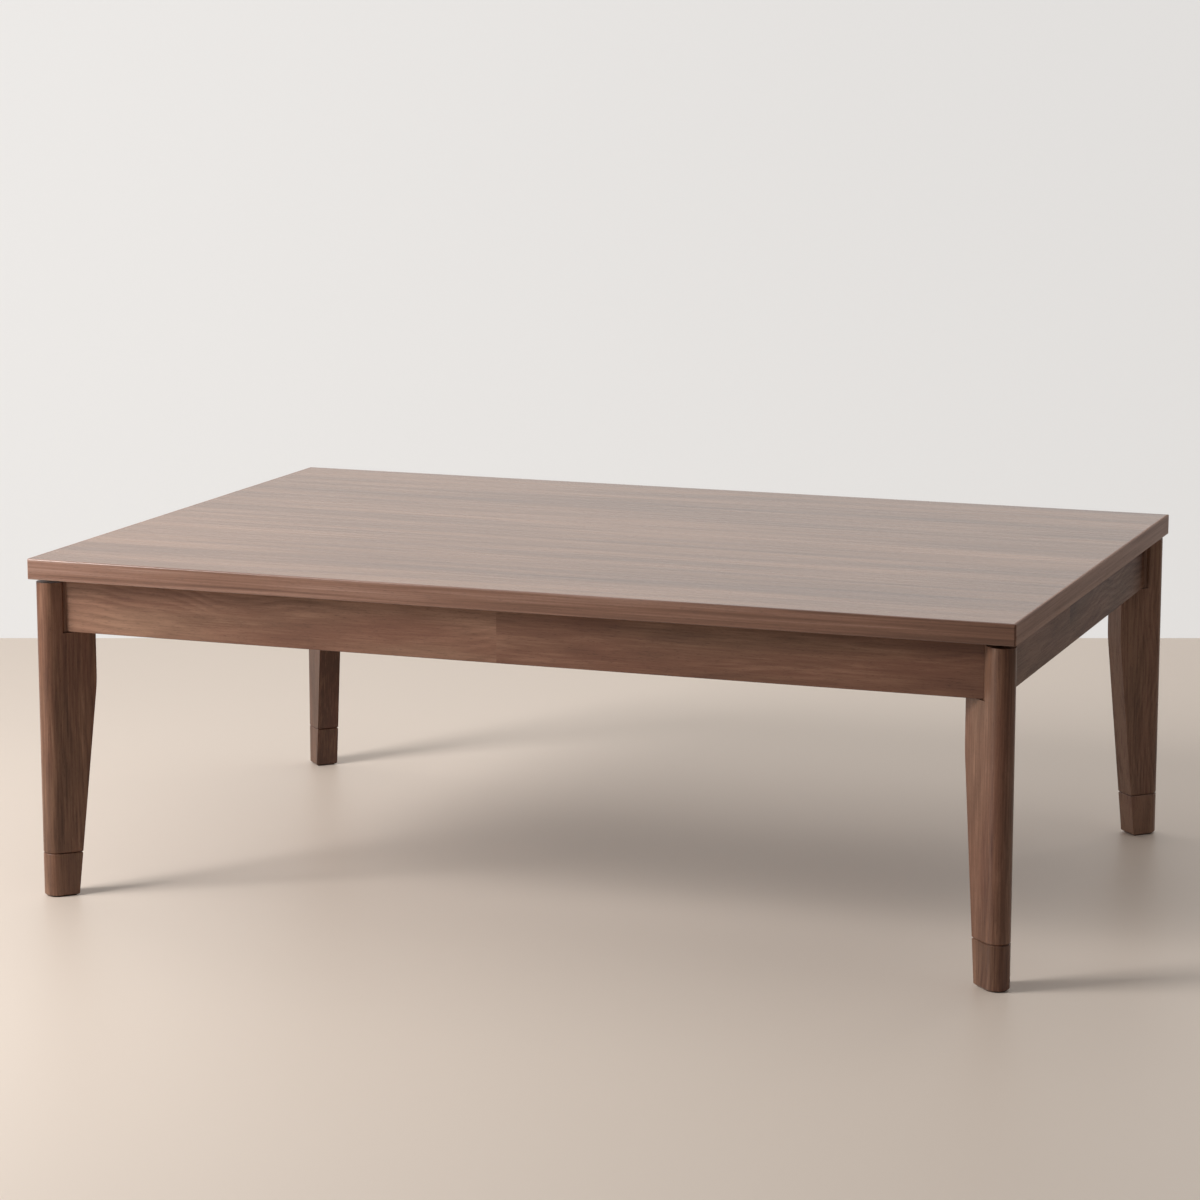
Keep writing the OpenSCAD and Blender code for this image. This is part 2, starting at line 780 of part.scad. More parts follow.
// Steel case: a box open below, with a lip around its mouth and a flange under the rails
module heater_case() {
    vent_h = rail_z - case_t - lip_top - 2 * vent_w;
    color([0.16, 0.15, 0.15])
        difference() {
            union() {
                translate([0, 0, case_z]) linear_extrude(case_top - case_z) rounded(case_w, case_w, case_r);
                translate([0, 0, rail_z - case_t]) linear_extrude(case_t) rounded(flange_w, flange_w, case_r);
            }
            translate([0, 0, lip_top]) linear_extrude(case_top - case_t - lip_top)
                rounded(case_in, case_in, case_r - case_t);
            translate([0, 0, case_z - eps]) linear_extrude(case_t + 2 * eps)
                rounded(mouth_w, mouth_w, mouth_r);
            for (a = [-90, 0, 90], i = [-vent_last : vent_last])
                rotate(a) translate([i * vent_pitch, -case_w / 2, (rail_z - case_t + lip_top) / 2])
                    cube([vent_w, 4 * case_t, vent_h], center = true);
            translate([0, case_w / 2, inlet_z]) cube([inlet_w, 4 * case_t, inlet_h], center = true);
            case_screw_holes();
            guard_screw_holes();
        }
}

module insulation_board() {
    color("whitesmoke")
        translate([0, 0, case_top - case_t - board_t]) linear_extrude(board_t)
            rounded(case_in - 2 * board_play, case_in - 2 * board_play, case_r - case_t - board_play);
}

// A square pyramid stump between two heights
module stump(w0, w1, z0, z1) {
    intersection_for(a = [0, 90]) rotate([90, 0, a]) linear_extrude(w0 + eps, center = true)
        polygon([[-w0 / 2, z0], [w0 / 2, z0], [w1 / 2, z1], [-w1 / 2, z1]]);
}

module reflector() {
    color("gainsboro")
        difference() {
            union() {
                stump(reflector_w, roof_w, lip_top, roof_top);
                translate([0, 0, lip_top]) linear_extrude(reflector_t)
                    rounded(case_in - 2 * case_t, case_in - 2 * case_t, case_r - 2 * case_t);
            }
            stump(reflector_w - 2 * reflector_t, roof_w - 2 * reflector_t, lip_top, roof_under);
            linear_extrude(2 * lip_top, center = true) square(reflector_w - 2 * reflector_t, center = true);
            at_lead_risers() translate([0, 0, roof_under - eps])
                cylinder(h = reflector_t + 2 * eps, r = lead_hole_r);
            guard_screw_holes();
        }
}

// Puts its children over each ceramic cap
module at_lead_risers() {
    for (sx = BOTH, sy = BOTH) translate([sx * (cap_mid + bracket_t + lead_r), sy * tube_y, 0]) children();
}

// Puts its children on each tube's axis
module at_tubes() {
    for (s = BOTH) translate([0, s * tube_y, tube_z]) rotate([0, 90, 0]) children();
}

module quartz_tubes() {
    color("lightgray", 0.6)
        at_tubes() difference() {
            cylinder(h = tube_l, r = tube_r, center = true);
            cylinder(h = tube_l + eps, r = tube_r - tube_t, center = true);
        }
}

module heating_coils() {
    color("orangered") at_tubes() cylinder(h = tube_l, r = coil_r, center = true);
}

module ceramic_caps() {
    color("ivory")
        at_tubes() for (s = BOTH) mirror([0, 0, s > 0 ? 0 : 1]) translate([0, 0, cap_start]) difference() {
            cylinder(h = cap_l, r = cap_r);
            translate([0, 0, -eps]) cylinder(h = cap_in + eps, r = tube_r + tube_fit);
        }
}

// Angle strip under the reflector's roof, with a hole for each cap
module tube_bracket_right() {
    span = 2 * (tube_y + cap_r + bracket_end);
    depth = tube_drop + cap_r + bracket_t;
    color("silver")
        difference() {
            translate([cap_mid - bracket_t / 2, -span / 2, roof_under - depth]) {
                cube([bracket_t, span, depth]);
                translate([-cap_r, 0, depth - bracket_t]) cube([cap_r + bracket_t, span, bracket_t]);
            }
            at_tubes() cylinder(h = tube_l * 2, r = cap_r + tube_fit, center = true);
        }
}

module tube_bracket_left() {
    mirror([1, 0, 0]) tube_bracket_right();
}

module thermostat() {
    color("ivory")
        translate([-control_x, control_y, roof_top]) {
            cylinder(h = thermostat_h, r = thermostat_r);
            cylinder(h = thermostat_foot_h, r = thermostat_foot_r);
        }
}

module thermal_fuse() {
    color("white") translate([control_x - fuse_l / 2, control_y, lead_z]) pin_x_axis(fuse_l, fuse_r);
}

module terminal_block() {
    color("ivory")
        translate([0, terminal_y + terminal_w / 2, roof_top]) difference() {
            linear_extrude(terminal_h) square([terminal_l, terminal_w], center = true);
            for (s = BOTH) translate([s * pin_x, 0, terminal_h - terminal_hole_h])
                cylinder(h = terminal_hole_h + eps, r = terminal_hole_r);
        }
}

// A round lead along a path of points
module lead(points) {
    for (i = [0 : len(points) - 2]) {
        way = points[i + 1] - points[i];
        reach = norm(way);
        translate(points[i]) rotate([0, acos(way[2] / reach), atan2(way[1], way[0])])
            cylinder(h = reach, r = lead_r);
        if (i > 0) translate(points[i]) sphere(lead_r);
    }
}

module inner_leads() {
    riser_x = cap_mid + bracket_t + lead_r;
    fuse_end = control_x + fuse_l / 2;
    color("firebrick") {
        for (s = BOTH) lead([
            [s * pin_x, inlet_inner, inlet_z], [s * pin_x, riser_y, inlet_z],
            [s * pin_x, riser_y, lead_z], [s * pin_x, terminal_y + terminal_w, lead_z]]);
        lead([
            [-pin_x, terminal_y, lead_z], [-pin_x, control_y, lead_z],
            [thermostat_r - control_x, control_y, lead_z]]);
        lead([
            [pin_x, terminal_y, lead_z], [pin_x, control_y, lead_z],
            [control_x - fuse_l / 2, control_y, lead_z]]);
        lead([[-control_x - thermostat_r, control_y, lead_z], [-riser_x, control_y, lead_z]]);
        lead([[fuse_end, control_y, lead_z], [riser_x, control_y, lead_z]]);
        for (s = BOTH) lead([
            [s * riser_x, -tube_y, tube_z + cap_r], [s * riser_x, -tube_y, lead_z],
            [s * riser_x, tube_y, lead_z], [s * riser_x, tube_y, tube_z + cap_r]]);
    }
}

module inlet_housing() {
    depth = inlet_mouth - inlet_inner;
    color([0.12, 0.11, 0.11])
        translate([0, inlet_inner, inlet_z]) difference() {
            union() {
                translate([0, depth / 2, 0])
                    cube([inlet_w - 2 * screw_fit, depth, inlet_h - 2 * screw_fit], center = true);
                translate([0, inlet_in + inlet_t / 2, 0])
                    cube([inlet_w + inlet_t, inlet_t, inlet_h + inlet_t], center = true);
            }
            translate([0, inlet_back + depth / 2, 0])
                cube([inlet_w - 2 * inlet_t, depth, inlet_h - 2 * inlet_t], center = true);
            for (s = BOTH) translate([s * pin_x, -eps, 0]) rotate([-90, 0, 0])
                cylinder(h = inlet_back + 2 * eps, r = pin_r);
        }
}

module inlet_pins() {
    color("silver")
        for (s = BOTH) translate([s * pin_x, inlet_inner, inlet_z]) rotate([-90, 0, 0]) {
            cylinder(h = inlet_back + pin_l - pin_r, r = pin_r);
            translate([0, 0, inlet_back + pin_l - pin_r]) sphere(pin_r);
        }
}

// Welded guard: a flat ring, wires along X and a few cross wires above them
module heater_guard() {
    reach = ring_outer - ring_w;
    cross = 2 * (wire_last * wire_pitch + wire_r);
    color([0.2, 0.2, 0.2])
        difference() {
            union() {
                translate([0, 0, case_z - case_t])
                    ring(ring_outer, ring_outer - 2 * ring_w, case_t, case_r - ring_inset, mouth_r);
                for (i = [-wire_last : wire_last]) translate([-reach / 2, i * wire_pitch, wire_z])
                    pin_x_axis(reach, wire_r);
                for (i = [-1 : 1]) translate([i * cross_pitch, -cross / 2, cross_z])
                    rotate([-90, 0, 0]) cylinder(h = cross, r = wire_r);
            }
            guard_screw_holes();
        }
}

module guard_screws() {
    color("silver")
        at_guard_screws() mirror([0, 0, 1])
            cross_screw(small_r, guard_screw_l, small_head_r, small_head_h);
}

module case_screws() {
    color("silver")
        at_case_screws() mirror([0, 0, 1])
            cross_screw(screw_r, case_t + case_screw_in, screw_head_r, screw_head_h);
}

// ---------------------------------------------------------------- nodes

top_core();
top_veneer();
top_backing();
edge_band(0, top_w / 2, top_l / 2);  // edge_band_front
edge_band(180, top_w / 2, top_l / 2);  // edge_band_back
edge_band(-90, top_l / 2, top_w / 2);  // edge_band_left
edge_band(90, top_l / 2, top_w / 2);  // edge_band_right

apron_front();
apron_back();
apron_left();
apron_right();
grip_pads();

at_corner(-1, -1) leg();  // leg_front_left
at_corner(1, -1) leg();  // leg_front_right
at_corner(-1, 1) leg();  // leg_back_left
at_corner(1, 1) leg();  // leg_back_right

at_corner(-1, -1) extension();  // extension_front_left
at_corner(1, -1) extension();  // extension_front_right
at_corner(-1, 1) extension();  // extension_back_left
at_corner(1, 1) extension();  // extension_back_right

at_corner(-1, -1) hanger_bolt();  // hanger_bolt_front_left
at_corner(1, -1) hanger_bolt();  // hanger_bolt_front_right
at_corner(-1, 1) hanger_bolt();  // hanger_bolt_back_left
at_corner(1, 1) hanger_bolt();  // hanger_bolt_back_right

at_corner(-1, -1) foot_pad();  // foot_pad_front_left
at_corner(1, -1) foot_pad();  // foot_pad_front_right
at_corner(-1, 1) foot_pad();  // foot_pad_back_left
at_corner(1, 1) foot_pad();  // foot_pad_back_right

at_corner(-1, -1) corner_plate();  // corner_plate_front_left
at_corner(1, -1) corner_plate();  // corner_plate_front_right
at_corner(-1, 1) corner_plate();  // corner_plate_back_left
at_corner(1, 1) corner_plate();  // corner_plate_back_right

plate_screws();
leg_bolts();
leg_bolt_washers();
leg_inserts();
foot_inserts();

cross_rail_left();
cross_rail_right();
heater_rail_front();
heater_rail_back();
rail_dowels();

heater_case();
insulation_board();
reflector();
quartz_tubes();
heating_coils();
ceramic_caps();
tube_bracket_left();
tube_bracket_right();
thermostat();
thermal_fuse();
terminal_block();
inlet_housing();
inlet_pins();
inner_leads();
heater_guard();
guard_screws();
case_screws();
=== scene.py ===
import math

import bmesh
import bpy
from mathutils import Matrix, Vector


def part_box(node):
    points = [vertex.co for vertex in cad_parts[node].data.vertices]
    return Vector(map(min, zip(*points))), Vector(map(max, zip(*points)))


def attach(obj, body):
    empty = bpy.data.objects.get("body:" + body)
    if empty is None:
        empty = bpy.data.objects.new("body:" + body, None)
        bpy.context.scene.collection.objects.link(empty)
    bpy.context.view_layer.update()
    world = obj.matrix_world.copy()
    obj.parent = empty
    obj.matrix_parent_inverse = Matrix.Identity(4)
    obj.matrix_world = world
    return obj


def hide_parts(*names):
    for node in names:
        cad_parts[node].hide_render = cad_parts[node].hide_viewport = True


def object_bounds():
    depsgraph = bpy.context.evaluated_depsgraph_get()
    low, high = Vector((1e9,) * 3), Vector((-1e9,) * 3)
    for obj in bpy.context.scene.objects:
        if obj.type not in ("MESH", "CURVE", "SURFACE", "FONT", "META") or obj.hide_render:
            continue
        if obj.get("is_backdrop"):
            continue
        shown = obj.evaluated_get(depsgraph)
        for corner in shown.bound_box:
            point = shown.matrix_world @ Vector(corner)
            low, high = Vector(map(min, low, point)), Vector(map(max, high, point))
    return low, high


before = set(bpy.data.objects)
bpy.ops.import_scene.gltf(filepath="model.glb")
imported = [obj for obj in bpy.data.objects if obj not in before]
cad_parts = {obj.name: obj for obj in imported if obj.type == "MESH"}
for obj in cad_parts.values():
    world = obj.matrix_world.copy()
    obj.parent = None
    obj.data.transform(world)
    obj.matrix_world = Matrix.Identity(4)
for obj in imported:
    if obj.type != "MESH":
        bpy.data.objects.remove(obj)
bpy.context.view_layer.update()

# %% [markdown]
# # A kotatsu table
# The table comes in as a frame of finished solids: a loose top, four aprons, four diagonal legs
# with screw-on feet, and a heater under the middle. Their sizes and places are settled, so this
# lesson leaves them where they are. It gives each piece its finish, and makes anew the small
# things that a solid can't show well: threads, coils, bent wires, stamped and turned parts.

MM = 0.001

# %% [markdown]
# ## Where we stand
# A long lens from a good distance keeps the table's uprights upright. The eye is a little over a
# metre up and looks slightly down, to the left, across the long front. The camera is made first,
# because every finish is judged through it.

# %% The camera
LENS_MM, SENSOR_MM = 110.43, 36.0
EYE_AT = (1.5291, -4.1908, 1.1499)
LOOK_DOWN, LOOK_LEFT = 10.381, 20.338
lens = bpy.data.cameras.new("eye")
lens.sensor_width = SENSOR_MM
lens.lens = LENS_MM
eye = bpy.data.objects.new("eye", lens)
eye.location = EYE_AT
eye.rotation_euler = (math.radians(90 - LOOK_DOWN), 0.0, math.radians(LOOK_LEFT))
bpy.context.scene.collection.objects.link(eye)
bpy.context.scene.camera = eye
print("camera at", tuple(eye.location), "with a lens of", lens.lens, "mm")

# %% [markdown]
# ## Writing finishes as sums
# A finish is a small sum over positions: rings plus streaks, less pores. Wiring that up node by
# node hides the idea, so one class wraps a socket and lets Python's own operators add the Math
# nodes. `1 - mask` must work as well as `mask - 1`, which is why each operator has its
# reflected form. Every other node comes from one method, `node`.

# %% A socket that can be added up
class Socket:
    """An output in a finish's graph. Arithmetic on it adds Math nodes."""

    def __init__(self, finish, output):
        self.finish = finish
        self.output = output

    def math(self, operation, *terms):
        return self.finish.node("Math", {"operation": operation}, dict(enumerate(terms)))

    def __add__(self, other):
        return self.math("ADD", self, other)

    def __sub__(self, other):
        return self.math("SUBTRACT", self, other)

    def __rsub__(self, other):
        return self.math("SUBTRACT", other, self)

    def __mul__(self, other):
        return self.math("MULTIPLY", self, other)

    def __truediv__(self, other):
        return self.math("DIVIDE", self, other)

    __radd__ = __add__
    __rmul__ = __mul__

    def fract(self):
        return self.math("FRACT", self)

    def root(self):
        return self.math("SQRT", self)

    def ease(self, low, high):
        """0 below low, 1 above high, and a smooth step between them."""
        return self.finish.node(
            "MapRange", {"interpolation_type": "SMOOTHSTEP"},
            {"Value": self, "From Min": low, "From Max": high})


print("a socket's own steps:", [step for step in vars(Socket) if not step.startswith("_")])

# %% A finish: one material and its graph
MIX_SHARE, MIX_UNDER, MIX_OVER, MIX_COLOUR = 0, 6, 7, 2


class Finish:
    """A material whose graph is written as sums on sockets."""

    def __init__(self, name, **shader):
        self.material = bpy.data.materials.new(name)
        self.material.use_nodes = True
        self.tree = self.material.node_tree
        self.shader = self.tree.nodes["Principled BSDF"]
        self.set(**shader)

    def feed(self, port, value):
        if isinstance(value, Socket):
            self.tree.links.new(value.output, port)
        else:
            port.default_value = value

    def node(self, kind, settings=(), ports=(), out=0):
        made = self.tree.nodes.new("ShaderNode" + kind)
        for name, value in dict(settings).items():
            if name == "stops":
                self.stops(made.color_ramp, value)
            else:
                setattr(made, name, value)
        for port, value in dict(ports).items():
            self.feed(made.inputs[port], value)
        return Socket(self, made.outputs[out])

    def stops(self, ramp, stops):
        while len(ramp.elements) < len(stops):
            ramp.elements.new(0.5)
        for mark, (place, tone) in zip(ramp.elements, stops):
            mark.position, mark.color = place, tone

    def set(self, **ports):
        """Sets the shader's own sockets: base_color for Base Color, and so on."""
        for name, value in ports.items():
            port = "IOR" if name == "ior" else name.replace("_", " ").title()
            self.feed(self.shader.inputs[port], value)

    def place(self):
        """Where a point lies in the object itself, so that a finish moves with its piece."""
        return self.node("TexCoord", out="Object")

    def stretched(self, place, scale, shift=(0, 0, 0)):
        return self.node("VectorMath", {"operation": "MULTIPLY_ADD"}, {0: place, 1: scale, 2: shift})

    def cloud(self, place, detail=2.0, rough=0.5):
        """Soft noise from 0 to 1 that changes over about one unit of place."""
        return self.node(
            "TexNoise", {}, {"Vector": place, "Scale": 1.0, "Detail": detail, "Roughness": rough})

    def blend(self, share, under, over):
        """Mixes two colours. A Mix node uses its names twice over, so these sockets are counted."""
        ports = {MIX_SHARE: share, MIX_UNDER: under, MIX_OVER: over}
        return self.node("Mix", {"data_type": "RGBA"}, ports, out=MIX_COLOUR)

    def relief(self, height, depth, strength):
        return self.node("Bump", {}, {"Height": height, "Distance": depth, "Strength": strength})


print("a finish's own steps:", [step for step in vars(Finish) if not step.startswith("_")])

# %% Colours
def tone(code):
    """A colour as a hex code, turned into light values by the standard curve of screens."""
    parts = [int(code[i:i + 2], 16) / 255 for i in (1, 3, 5)]
    return tuple(v / 12.92 if v < 0.04045 else ((v + 0.055) / 1.055) ** 2.4 for v in parts) + (1.0,)


print("a walnut brown in light values:", [round(v, 3) for v in tone("#6F4F40")])

# %% [markdown]
# ## The room
# A pale floor, and a pale wall square to our view a little way behind. The wall glows evenly: it
# is what the satin top mirrors at a low angle. One big sheet swept up at the back would do for a
# single view, but it would hide the table from behind. So both sheets let the eye through from
# behind, and the floor fades into the pale surround a few steps away.

# %% Floor and wall
FLOOR_HALF, FADE_FROM, FADE_TO = 4.0, 1.9, 3.2
WALL_AWAY, WALL_HALF, WALL_HIGH = 5.93, 2.4, 3.4


def stage_sheet(name, corners, finish):
    mesh = bpy.data.meshes.new(name)
    mesh.from_pydata(corners, [], [(0, 1, 2, 3)])
    mesh.materials.append(finish.material)
    sheet = bpy.data.objects.new(name, mesh)
    bpy.context.scene.collection.objects.link(sheet)
    sheet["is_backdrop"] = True


def clear_from_behind(finish, beyond=0.0):
    """Leaves only the front of a sheet showing, and that only where beyond isn't 1."""
    behind = finish.node("NewGeometry", out="Backfacing")
    hidden = behind.math("MAXIMUM", behind, beyond)
    front = Socket(finish, finish.shader.outputs[0])
    clear = finish.node("BsdfTransparent")
    shown = finish.node("MixShader", {}, {0: hidden, 1: front, 2: clear})
    finish.feed(finish.tree.nodes["Material Output"].inputs["Surface"], shown)


def lay_floor():
    pale = Finish("pale_floor", roughness=0.45, base_color=tone("#D9CABC"))
    pale.set(emission_color=tone("#E8DACB"), emission_strength=0.05)
    away = pale.node("VectorMath", {"operation": "LENGTH"}, {0: pale.place()}, out="Value")
    clear_from_behind(pale, away.ease(FADE_FROM, FADE_TO))
    corners = [(x * FLOOR_HALF, y * FLOOR_HALF, 0) for x, y in ((-1, -1), (1, -1), (1, 1), (-1, 1))]
    stage_sheet("studio_floor", corners, pale)


def stand_wall():
    plaster = Finish("plaster_wall", roughness=0.9, base_color=tone("#767573"))
    plaster.set(emission_color=tone("#F2F0EE"), emission_strength=0.73)
    clear_from_behind(plaster)
    heading = eye.rotation_euler.z
    ahead = Vector((-math.sin(heading), math.cos(heading), 0))
    side = Vector((math.cos(heading), math.sin(heading), 0)) * WALL_HALF
    foot = Vector((eye.location.x, eye.location.y, 0)) + ahead * WALL_AWAY
    up = Vector((0, 0, WALL_HIGH))
    stage_sheet("studio_wall", [foot - side, foot + side, foot + side + up, foot - side + up], plaster)


lay_floor()
stand_wall()
print("floor laid, wall", WALL_AWAY, "m from the eye")

# %% [markdown]
# ## The light
# Daylight from the left: three soft windows and a wide soft ceiling. It falls off along the table,
# so its left end is lit about twice as strongly as its right. A lamp of even light from far off
# would be simpler, but near windows give this falling off, and they stand high enough for the
# top's overhang to shade the aprons. A weak fill from the right keeps the far ends warm.

# %% Soft lamps
LAMPS = {  # where it stands, what it faces, its width in metres, its watts
    "high_window": ((-2.0, -1.8, 1.9), (-0.2, -0.2, 0.3), 1.0, 70),
    "low_window": ((-1.9, -2.6, 1.25), (-0.3, -0.3, 0.35), 1.2, 13),
    "side_window": ((-1.8, -1.25, 0.95), (-0.25, -0.25, 0.3), 1.0, 10),
    "ceiling": ((0.3, 0.6, 2.8), (0.1, 0.2, 0.0), 4.0, 38),
    "right_fill": ((3.4, -0.2, 1.3), (0.6, 0.0, 0.35), 1.5, 5),
}
for name, (stand, aim, width, watts) in LAMPS.items():
    lamp = bpy.data.lights.new(name, "AREA")
    lamp.shape = "SQUARE"
    lamp.size = width
    lamp.energy = watts
    box = bpy.data.objects.new(name, lamp)
    box.location = stand
    box.rotation_euler = (Vector(aim) - Vector(stand)).to_track_quat("-Z", "Y").to_euler()
    bpy.context.scene.collection.objects.link(box)
print("lamps:", list(LAMPS))

# %% [markdown]
# The pale surround is there for the eye, in views that look past the wall and the floor. It could
# light the table as well, but then the shaded faces would lose their depth. So it asks what kind
# of ray has reached it: one straight from the camera sees it bright, and all others nearly dark.

# %% The surround
SEEN, SHED = 0.7, 0.01
surround = bpy.data.worlds.new("surround")
surround.use_nodes = True
tree = surround.node_tree
ray = tree.nodes.new("ShaderNodeLightPath")
glow = tree.nodes.new("ShaderNodeMapRange")
glow.inputs["To Min"].default_value = SHED
glow.inputs["To Max"].default_value = SEEN
tree.links.new(ray.outputs["Is Camera Ray"], glow.inputs["Value"])
tree.nodes["Background"].inputs["Color"].default_value = tone("#F4F1EE")
tree.links.new(glow.outputs["Result"], tree.nodes["Background"].inputs["Strength"])
bpy.context.scene.world = surround
bpy.context.scene.view_settings.view_transform = "Standard"
print("surround shows", SEEN, "and sheds", SHED)

# %% [markdown]
# ## Solid wood
# The aprons, legs and feet are solid boards, stained to a walnut brown and sprayed with satin
# lacquer. A flat picture of grain would break at every edge, so the grain is worked out in
# space, as a tree grows it: rings around a pith that lies off the board and wanders. Cut
# lengthwise, the rings give lines and arches, and cut across they give end grain, all from one
# sum. Fine fibres and short dark pores run along the board on top of that. A long board is glued
# up from staves, end to end: at each joint the figure jumps, and the tone changes a little.

# %% A board's own directions
TURN_X = (0.0, 0.0, 0.0)
TURN_Y = (0.0, 0.0, math.radians(-90))


def board_place(finish, turn, middle):
    """Positions with X along the board, measured from its middle."""
    from_middle = finish.stretched(finish.place(), (1, 1, 1), tuple(-v for v in middle))
    return finish.node(
        "VectorRotate", {"rotation_type": "EULER_XYZ"}, {"Vector": from_middle, "Rotation": turn})


def grain(wood, place, seed, along, across, detail=2.0, rough=0.5):
    """Noise from -0.5 to 0.5, with so many patches per metre along the board and across it."""
    drawn = wood.stretched(place, (along, across, across), (seed, seed * 0.7, -seed))
    return wood.cloud(drawn, detail, rough) - 0.5


print("a board along Y is turned by", round(math.degrees(TURN_Y[2])), "degrees to lie along X")

# %% Glued staves
STAVE_JUMP = (2.3, 0.011, -0.007)


def staves(wood, place, joints, painted_falloff):
    """Counts the glued joints passed along the board, and adds up how the tone changes on the way: a step at
    each joint, and a painted falloff of light along the whole board.
    """
    along = Socket(wood, wood.node("SeparateXYZ", {}, {0: place}).output)
    number, change = along * 0.0, along * painted_falloff
    for joint, darker in joints:
        passed = along.math("GREATER_THAN", along, joint)
        number = number + passed
        change = change + passed * darker
    return number, change


def jumped(wood, place, number):
    """The same positions, shifted once more at each joint, so that each stave has its own figure."""
    jump = wood.node("CombineXYZ", {}, {axis: number * by for axis, by in enumerate(STAVE_JUMP)})
    return wood.node("VectorMath", {"operation": "ADD"}, {0: place, 1: jump})


print("at each joint the figure jumps by", STAVE_JUMP, "m")

# %% Growing a board
WALNUT = (tone("#93705A"), tone("#6F4F3C"), tone("#4B3124"))
RED_STAIN, PORE_BROWN = tone("#8A4238"), tone("#2A1A13")
RED_SHARE, PORE_SHARE = 0.28, 0.35
PORES = (0.60, 0.70)
PITH_WANDER = (0.05, 0.10)
LATE_FROM, LATE_MEAN = 0.75, 0.45
SATIN_IOR, LACQUER_ROUGH = 1.36, 0.25


def by_shade(wood, shade, tones):
    """A colour ramp through three tones, from light at 0 to dark at 1."""
    return wood.node("ValToRGB", {"stops": tuple(zip((0.0, 0.5, 1.0), tones))}, {0: shade})


def solid_wood(
        name, turn, middle, pith, seed, tones=WALNUT, ring=0.009, figure=0.25, fibre=0.7, rough=0.5,
        lacquer=0.0, dark=0.0, painted_falloff=0.0, joints=()):
    """A stained board. turn brings its length to X, and pith is the ring centre's offset.

    ring is the width of a year, figure and fibre are the strengths of rings and fibres, dark
    darkens it all over, partly as the board's own tone and on some pieces as painted shade, and
    painted_falloff darkens it more and more along its length, as painted light falling off.
    """
    wood = Finish(name, ior=SATIN_IOR, coat_weight=lacquer, coat_roughness=LACQUER_ROUGH)
    whole = board_place(wood, turn, middle)
    stave, change = staves(wood, whole, joints, painted_falloff)
    place = jumped(wood, whole, stave)
    axes = wood.node("SeparateXYZ", {}, {0: place}).output.node.outputs
    across = Socket(wood, axes[1]) + grain(wood, place, seed, 1.6, 2.0, 1.0) * PITH_WANDER[0] + pith[0]
    deep = Socket(wood, axes[2]) + grain(wood, place, -seed, 5.0, 2.5, 1.0) * PITH_WANDER[1] + pith[1]
    streaks = grain(wood, place, seed * 1.9, 3.0, 70.0, 2.0, 0.55)
    years = (across * across + deep * deep).root() / ring + streaks * 0.3
    rings = years.fract()
    present = grain(wood, place, seed * 3.1, 2.2, 16.0).ease(-0.12, 0.2)
    late = (rings.ease(0.0, LATE_FROM) * (1 - rings.ease(LATE_FROM, 1.0)) - LATE_MEAN) * present
    fibres = grain(wood, place, seed * 0.3, 16.0, 480.0, 3.0, 0.6)
    clouds = grain(wood, place, seed * 0.5, 4.0, 24.0, 3.0, 0.55)
    patches = grain(wood, place, seed * 1.3, 12.0, 60.0, 2.0)
    pores = wood.cloud(wood.stretched(place, (150.0, 2100.0, 2100.0), (0.0, seed, seed)), 1.0)
    pores = pores.ease(*PORES)
    shade = late * figure + clouds * 1.3 + patches * 0.5 + streaks * 0.3 + fibres * fibre
    # change holds each joint's step and the painted falloff of light along the board.
    colour = by_shade(wood, shade + change + (0.5 + dark), tones)
    warm = grain(wood, place, seed * 2.7, 4.5, 26.0).ease(-0.2, 0.25)
    colour = wood.blend(warm * 0.5, colour, wood.blend(RED_SHARE, colour, RED_STAIN))
    wood.set(
        base_color=wood.blend(pores * PORE_SHARE, colour, PORE_BROWN),
        roughness=fibres * 0.14 + pores * 0.12 + late * 0.05 + rough,
        normal=wood.relief(fibres * 0.5 + late * 0.2 - pores * 0.9, 0.00012, 0.35))
    return wood.material


print("wood tones from light to dark:", [tuple(round(v, 3) for v in t[:3]) for t in WALNUT])

# %% [markdown]
# ## The aprons
# The four boards under the top. Front and back run along X, the ends along Y. All come from the
# same sum, but each has its own pith, seed and joints, or the eye would find the repeat at once.
# A board's tone varies as well: dark shifts the whole board, and painted_falloff shifts it along its
# length. On the front apron these and the step at its joint are painted light and shade: a lighter
# left end, as painted light from the left, and a darker right stave, as painted shade under the
# top's overhang.

# %% Wood for the aprons
def dress(material, *nodes):
    """Gives frame pieces their finish."""
    for name in nodes:
        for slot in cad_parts[name].material_slots:
            slot.material = material


def middle_of(node):
    low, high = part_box(node)
    return tuple((low + high) / 2)


APRONS = {  # turn, pith, seed, lacquer, dark, painted_falloff, and each joint's place and change of tone
    # The front apron's dark, painted_falloff and joint step are painted light and shade: a lighter left end
    # and a darker right stave, for the shade under the overhang.
    "apron_front": (TURN_X, (0.004, 0.06), 1.3, 0.35, -0.22, 0.16, ((-0.01, 0.15),)),
    "apron_back": (TURN_X, (-0.01, 0.055), 5.1, 0.35, -0.1, 0.0, ((-0.2, 0.1), (0.17, 0.12))),
    "apron_left": (TURN_Y, (0.01, -0.06), 8.7, 0.35, 0.05, 0.0, ((0.09, -0.16),)),
    "apron_right": (TURN_Y, (0.012, 0.055), 12.4, 0.0, -0.03, 0.0, ((-0.05, 0.08),)),
}
for apron, (turn, pith, seed, lacquer, dark, painted_falloff, joints) in APRONS.items():
    wood = solid_wood(
        apron + "_wood", turn, middle_of(apron), pith, seed,
        lacquer=lacquer, dark=dark, painted_falloff=painted_falloff, joints=joints)
    dress(wood, apron)
print("aprons stained:", list(APRONS))

